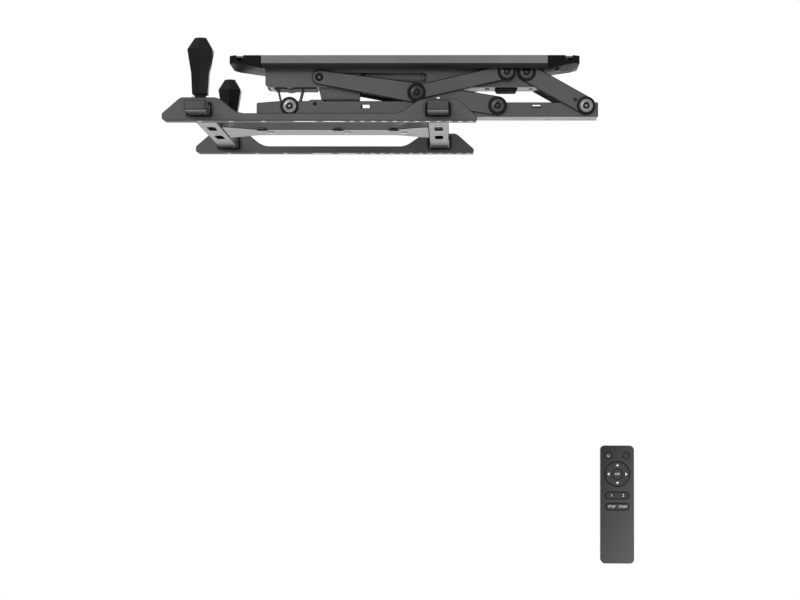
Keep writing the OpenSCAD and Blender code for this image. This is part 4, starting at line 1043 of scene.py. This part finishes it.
# The foot's width, then each ring's width and height, as shares of the knob's full size
knob_foot = 0.58
knob_rings = ((0.63, 0.03), (0.71, 0.38), (0.90, 0.64), (1.0, 0.79), (0.45, 1.0))
for side in ("near", "far"):
    knob_low, knob_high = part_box(side + "_knob")
    knob_middle = (knob_low + knob_high) / 2
    knob_h = knob_high.z - knob_low.z
    knob_wide = (knob_high.x - knob_low.x) / 2
    corner_r = knob_wide / math.cos(math.pi / 6)
    bpy.ops.mesh.primitive_circle_add(vertices=6, radius=knob_foot * corner_r, fill_type="NGON")
    knob = added(side + "_clamp_knob")
    knob.data.transform(Matrix.Translation((knob_middle.x, knob_middle.y, knob_low.z)))
    open_mesh()
    wide = knob_foot
    high = 0.0
    for next_wide, next_high in knob_rings:
        rise = (0, 0, (next_high - high) * knob_h)
        bpy.ops.mesh.extrude_region_move(TRANSFORM_OT_translate={"value": rise})
        bpy.ops.transform.resize(
            value=(next_wide / wide, next_wide / wide, 1),
            center_override=(knob_middle.x, knob_middle.y, knob_low.z + next_high * knob_h),
        )
        wide = next_wide
        high = next_high
    close_mesh()
    round_edges(knob, 0.7 * mm, 3, 12)
    wear(knob, knob_plastic, side + "_knob_set", side + "_knob")
    screw_low, screw_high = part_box(side + "_clamp_screw")
    screw_place = (knob_middle.x, knob_middle.y, 0)
    collar_steel = turned_steel(side + "_collar_steel", screw_place, "Z", (0.020, 0.020, 0.022), 0.34)
    collar_r = (screw_high.x - screw_low.x) / 2
    collar_z = screw_high.z - 4.1 * mm
    clamp_screw = turned(
        side + "_clamp_bolt",
        [
            (0, screw_low.z), (3.2 * mm, screw_low.z), (4 * mm, screw_low.z + 0.8 * mm),
            (4 * mm, collar_z), (collar_r - 0.4 * mm, collar_z), (collar_r, collar_z + 0.4 * mm),
            (collar_r, collar_z + 1.4 * mm), (collar_r - 1.2 * mm, collar_z + 1.7 * mm),
            (collar_r - 1.2 * mm, collar_z + 2.3 * mm), (collar_r, collar_z + 2.6 * mm),
            (collar_r, screw_high.z - 0.4 * mm), (collar_r - 0.4 * mm, screw_high.z), (0, screw_high.z),
        ],
        screw_place, (0, 0, 1),
    )
    wear(clamp_screw, collar_steel, side + "_knob_set", side + "_clamp_screw")

# Remote control
# A slim hand-held control in two moulded halves, with a satin front and softly rounded edges.
# It is held below and in front of the mount, where the photograph shows it.


def painted_sheen_fade(shader, node, direction, dark, light):
    """A painted sheen: a slow change of tone across a frame piece's box, from its shaded to its lit end."""
    low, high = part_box(node)
    tree = shader.id_data
    reach = tree.nodes.new("ShaderNodeVectorMath")
    reach.operation = "DOT_PRODUCT"
    reach.inputs[1].default_value = direction
    tree.links.new(object_place(shader), reach.inputs[0])
    spread = tree.nodes.new("ShaderNodeMapRange")
    corners = (low, high, (low.x, low.y, high.z), (high.x, high.y, low.z))
    ends = [Vector(direction).dot(Vector(corner)) for corner in corners]
    spread.inputs["From Min"].default_value = min(ends)
    spread.inputs["From Max"].default_value = max(ends)
    tree.links.new(reach.outputs["Value"], spread.inputs["Value"])
    painted_sheen_tint = tree.nodes.new("ShaderNodeMix")
    painted_sheen_tint.data_type = "RGBA"
    painted_sheen_tint.inputs["A"].default_value = (*dark, 1)
    painted_sheen_tint.inputs["B"].default_value = (*light, 1)
    tree.links.new(spread.outputs["Result"], painted_sheen_tint.inputs["Factor"])
    grain = tree.nodes.new("ShaderNodeMix")
    grain.data_type = "RGBA"
    grain.blend_type = "MULTIPLY"
    grain.inputs["Factor"].default_value = 0.15
    tree.links.new(painted_sheen_tint.outputs["Result"], grain.inputs["A"])
    tree.links.new(object_noise(shader, 300).outputs["Fac"], grain.inputs["B"])
    tree.links.new(grain.outputs["Result"], shader.inputs["Base Color"])


remote_front = moulded_plastic("remote_front_plastic_painted_sheen", (0.030, 0.030, 0.031), 0.34, 0.02 * mm, 0.2)
remote_shader = remote_front.node_tree.nodes["Principled BSDF"]
# The front's tone is painted darker at the upper left and lighter towards the lower right: a painted
# reflection of soft light on its satin face.
shaded_left_tone = (0.012, 0.012, 0.012)
sheen_lit_right_tone = (0.072, 0.075, 0.074)
painted_sheen_fade(remote_shader, "remote_face", (1, 0, -0.3), shaded_left_tone, sheen_lit_right_tone)
remote_shell = moulded_plastic("remote_shell_plastic", (0.018, 0.018, 0.019), 0.42, 0.03 * mm)
# The front's holes and outer edge are outlined in painted edge shade.
finished_copy("remote_face", "remote_front_half", 0.5 * mm, remote_front, "base", edge_shade_coat)
finished_copy("remote_back", "remote_rear_half", 1.2 * mm, remote_shell, "base")

# Remote buttons
# Domed rubber buttons that stand a millimetre proud of the front, each moving in its own
# opening. Their marks are printed in white.
button_rubber = moulded_plastic("button_rubber", (0.030, 0.030, 0.031), 0.55, 0.03 * mm)
print_white, print_shader = new_finish("white_print", 0.0, 0.6)
print_noise = object_noise(print_shader, 2000)
vary_colour(print_shader, print_noise, (0.60, 0.60, 0.60), (0.72, 0.72, 0.72))
print_t = 0.06 * mm
button_dome = 0.1 * mm


def round_button(node):
    """A round button that stands for a frame piece, with a soft dome on its front."""
    low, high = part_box(node)
    middle = (low + high) / 2
    reach = (high.x - low.x) / 2
    front = -low.y
    button = turned(
        node + "_cap",
        [
            (0, -high.y), (reach, -high.y), (reach, front - 0.5 * mm), (0.97 * reach, front - 0.2 * mm),
            (0.9 * reach, front - 0.05 * mm), (0.75 * reach, front - button_dome),
            (0, front - button_dome),
        ],
        (middle.x, 0, middle.z), (0, -1, 0),
    )
    wear(button, button_rubber, node, node)
    return Vector((middle.x, low.y + button_dome, middle.z))


def printed_text(words, name, place, height, body):
    """White printed words, flat on a button's front."""
    bpy.ops.object.text_add()
    mark = added(name)
    mark.data.body = words
    mark.data.align_x = "CENTER"
    mark.data.align_y = "CENTER"
    mark.data.size = height * 1.4
    mark.data.extrude = print_t / 2
    mark.data.resolution_u = 4
    bpy.ops.object.convert(target="MESH")
    mark.data.transform(Matrix.Translation(place) @ upright)
    wear(mark, print_white, body)


def printed_prism(name, corners, radius, place, body, turn=0.0, stretch=(1, 1)):
    """A flat white mark with that many corners on a button's front."""
    bpy.ops.mesh.primitive_cylinder_add(vertices=corners, radius=radius, depth=print_t)
    mark = added(name)
    shape = Matrix.Diagonal((stretch[0], stretch[1], 1, 1))
    mark.data.transform(Matrix.Translation(place) @ upright @ Matrix.Rotation(turn, 4, "Z") @ shape)
    wear(mark, print_white, body)


power_front = round_button("power_button")
centre_front = round_button("pad_centre")
round_button("mode_button")
pad_low, pad_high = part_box("pad_ring")
pad_middle = (pad_low + pad_high) / 2
pad_r = (pad_high.x - pad_low.x) / 2
for node, name in (
    ("pad_ring", "direction_ring"),
    ("number_keys", "number_rocker"),
    ("lower_keys", "lower_rocker"),
):
    # The keys' edges carry a line of painted edge shade.
    finished_copy(node, name, 0.5 * mm, button_rubber, node, edge_shade_coat)

# Remote marks
# White printed signs: arrows round the ring, a word on its middle button, plain numbers and
# words on the rocker keys and a switch sign on the first round button.
arrow_reach = 0.71 * pad_r
for k in range(4):
    angle = k * math.pi / 2
    reach = arrow_reach * Vector((math.cos(angle), 0, math.sin(angle)))
    place = Vector((pad_middle.x, pad_low.y, pad_middle.z)) + reach
    printed_prism(f"ring_arrow_{k + 1}", 3, 2.7 * mm, place, "pad_ring", angle - math.pi / 2, (1, 0.8))
printed_text("OK", "centre_word", centre_front, 3.4 * mm, "pad_centre")
for node, marks, tall in (("number_keys", ("1", "2"), 4.2), ("lower_keys", ("STOP", "START"), 3.1)):
    key_low, key_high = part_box(node)
    key_middle = (key_low + key_high) / 2
    key_reach = 0.25 * (key_high.x - key_low.x)
    for step, sign in zip((-1, 1), marks):
        place = Vector((key_middle.x + step * key_reach, key_low.y, key_middle.z))
        printed_text(sign, f"{node}_sign_{sign}", place, tall * mm, node)
switch_arc = 1.7 * mm
bpy.ops.mesh.primitive_torus_add(
    major_radius=switch_arc, minor_radius=0.22 * mm, major_segments=40, minor_segments=8
)
switch_ring = added("switch_sign_ring")
bpy.ops.object.mode_set(mode="EDIT")
bpy.ops.mesh.select_all(action="DESELECT")
bpy.ops.object.mode_set(mode="OBJECT")
for corner in switch_ring.data.vertices:
    corner.select = corner.co.y > 0.72 * switch_arc
bpy.ops.object.mode_set(mode="EDIT")
bpy.ops.mesh.delete(type="VERT")
bpy.ops.mesh.select_all(action="SELECT")
bpy.ops.mesh.fill_holes(sides=0)
close_mesh()
flat_stand = upright @ Matrix.Diagonal((1, 1, 0.2, 1))
switch_ring.data.transform(Matrix.Translation(power_front) @ flat_stand)
wear(switch_ring, print_white, "power_button")
bar_place = power_front + Vector((0, 0, 1.4 * mm))
printed_prism("switch_sign_bar", 4, 0.32 * mm, bar_place, "power_button", math.pi / 4)
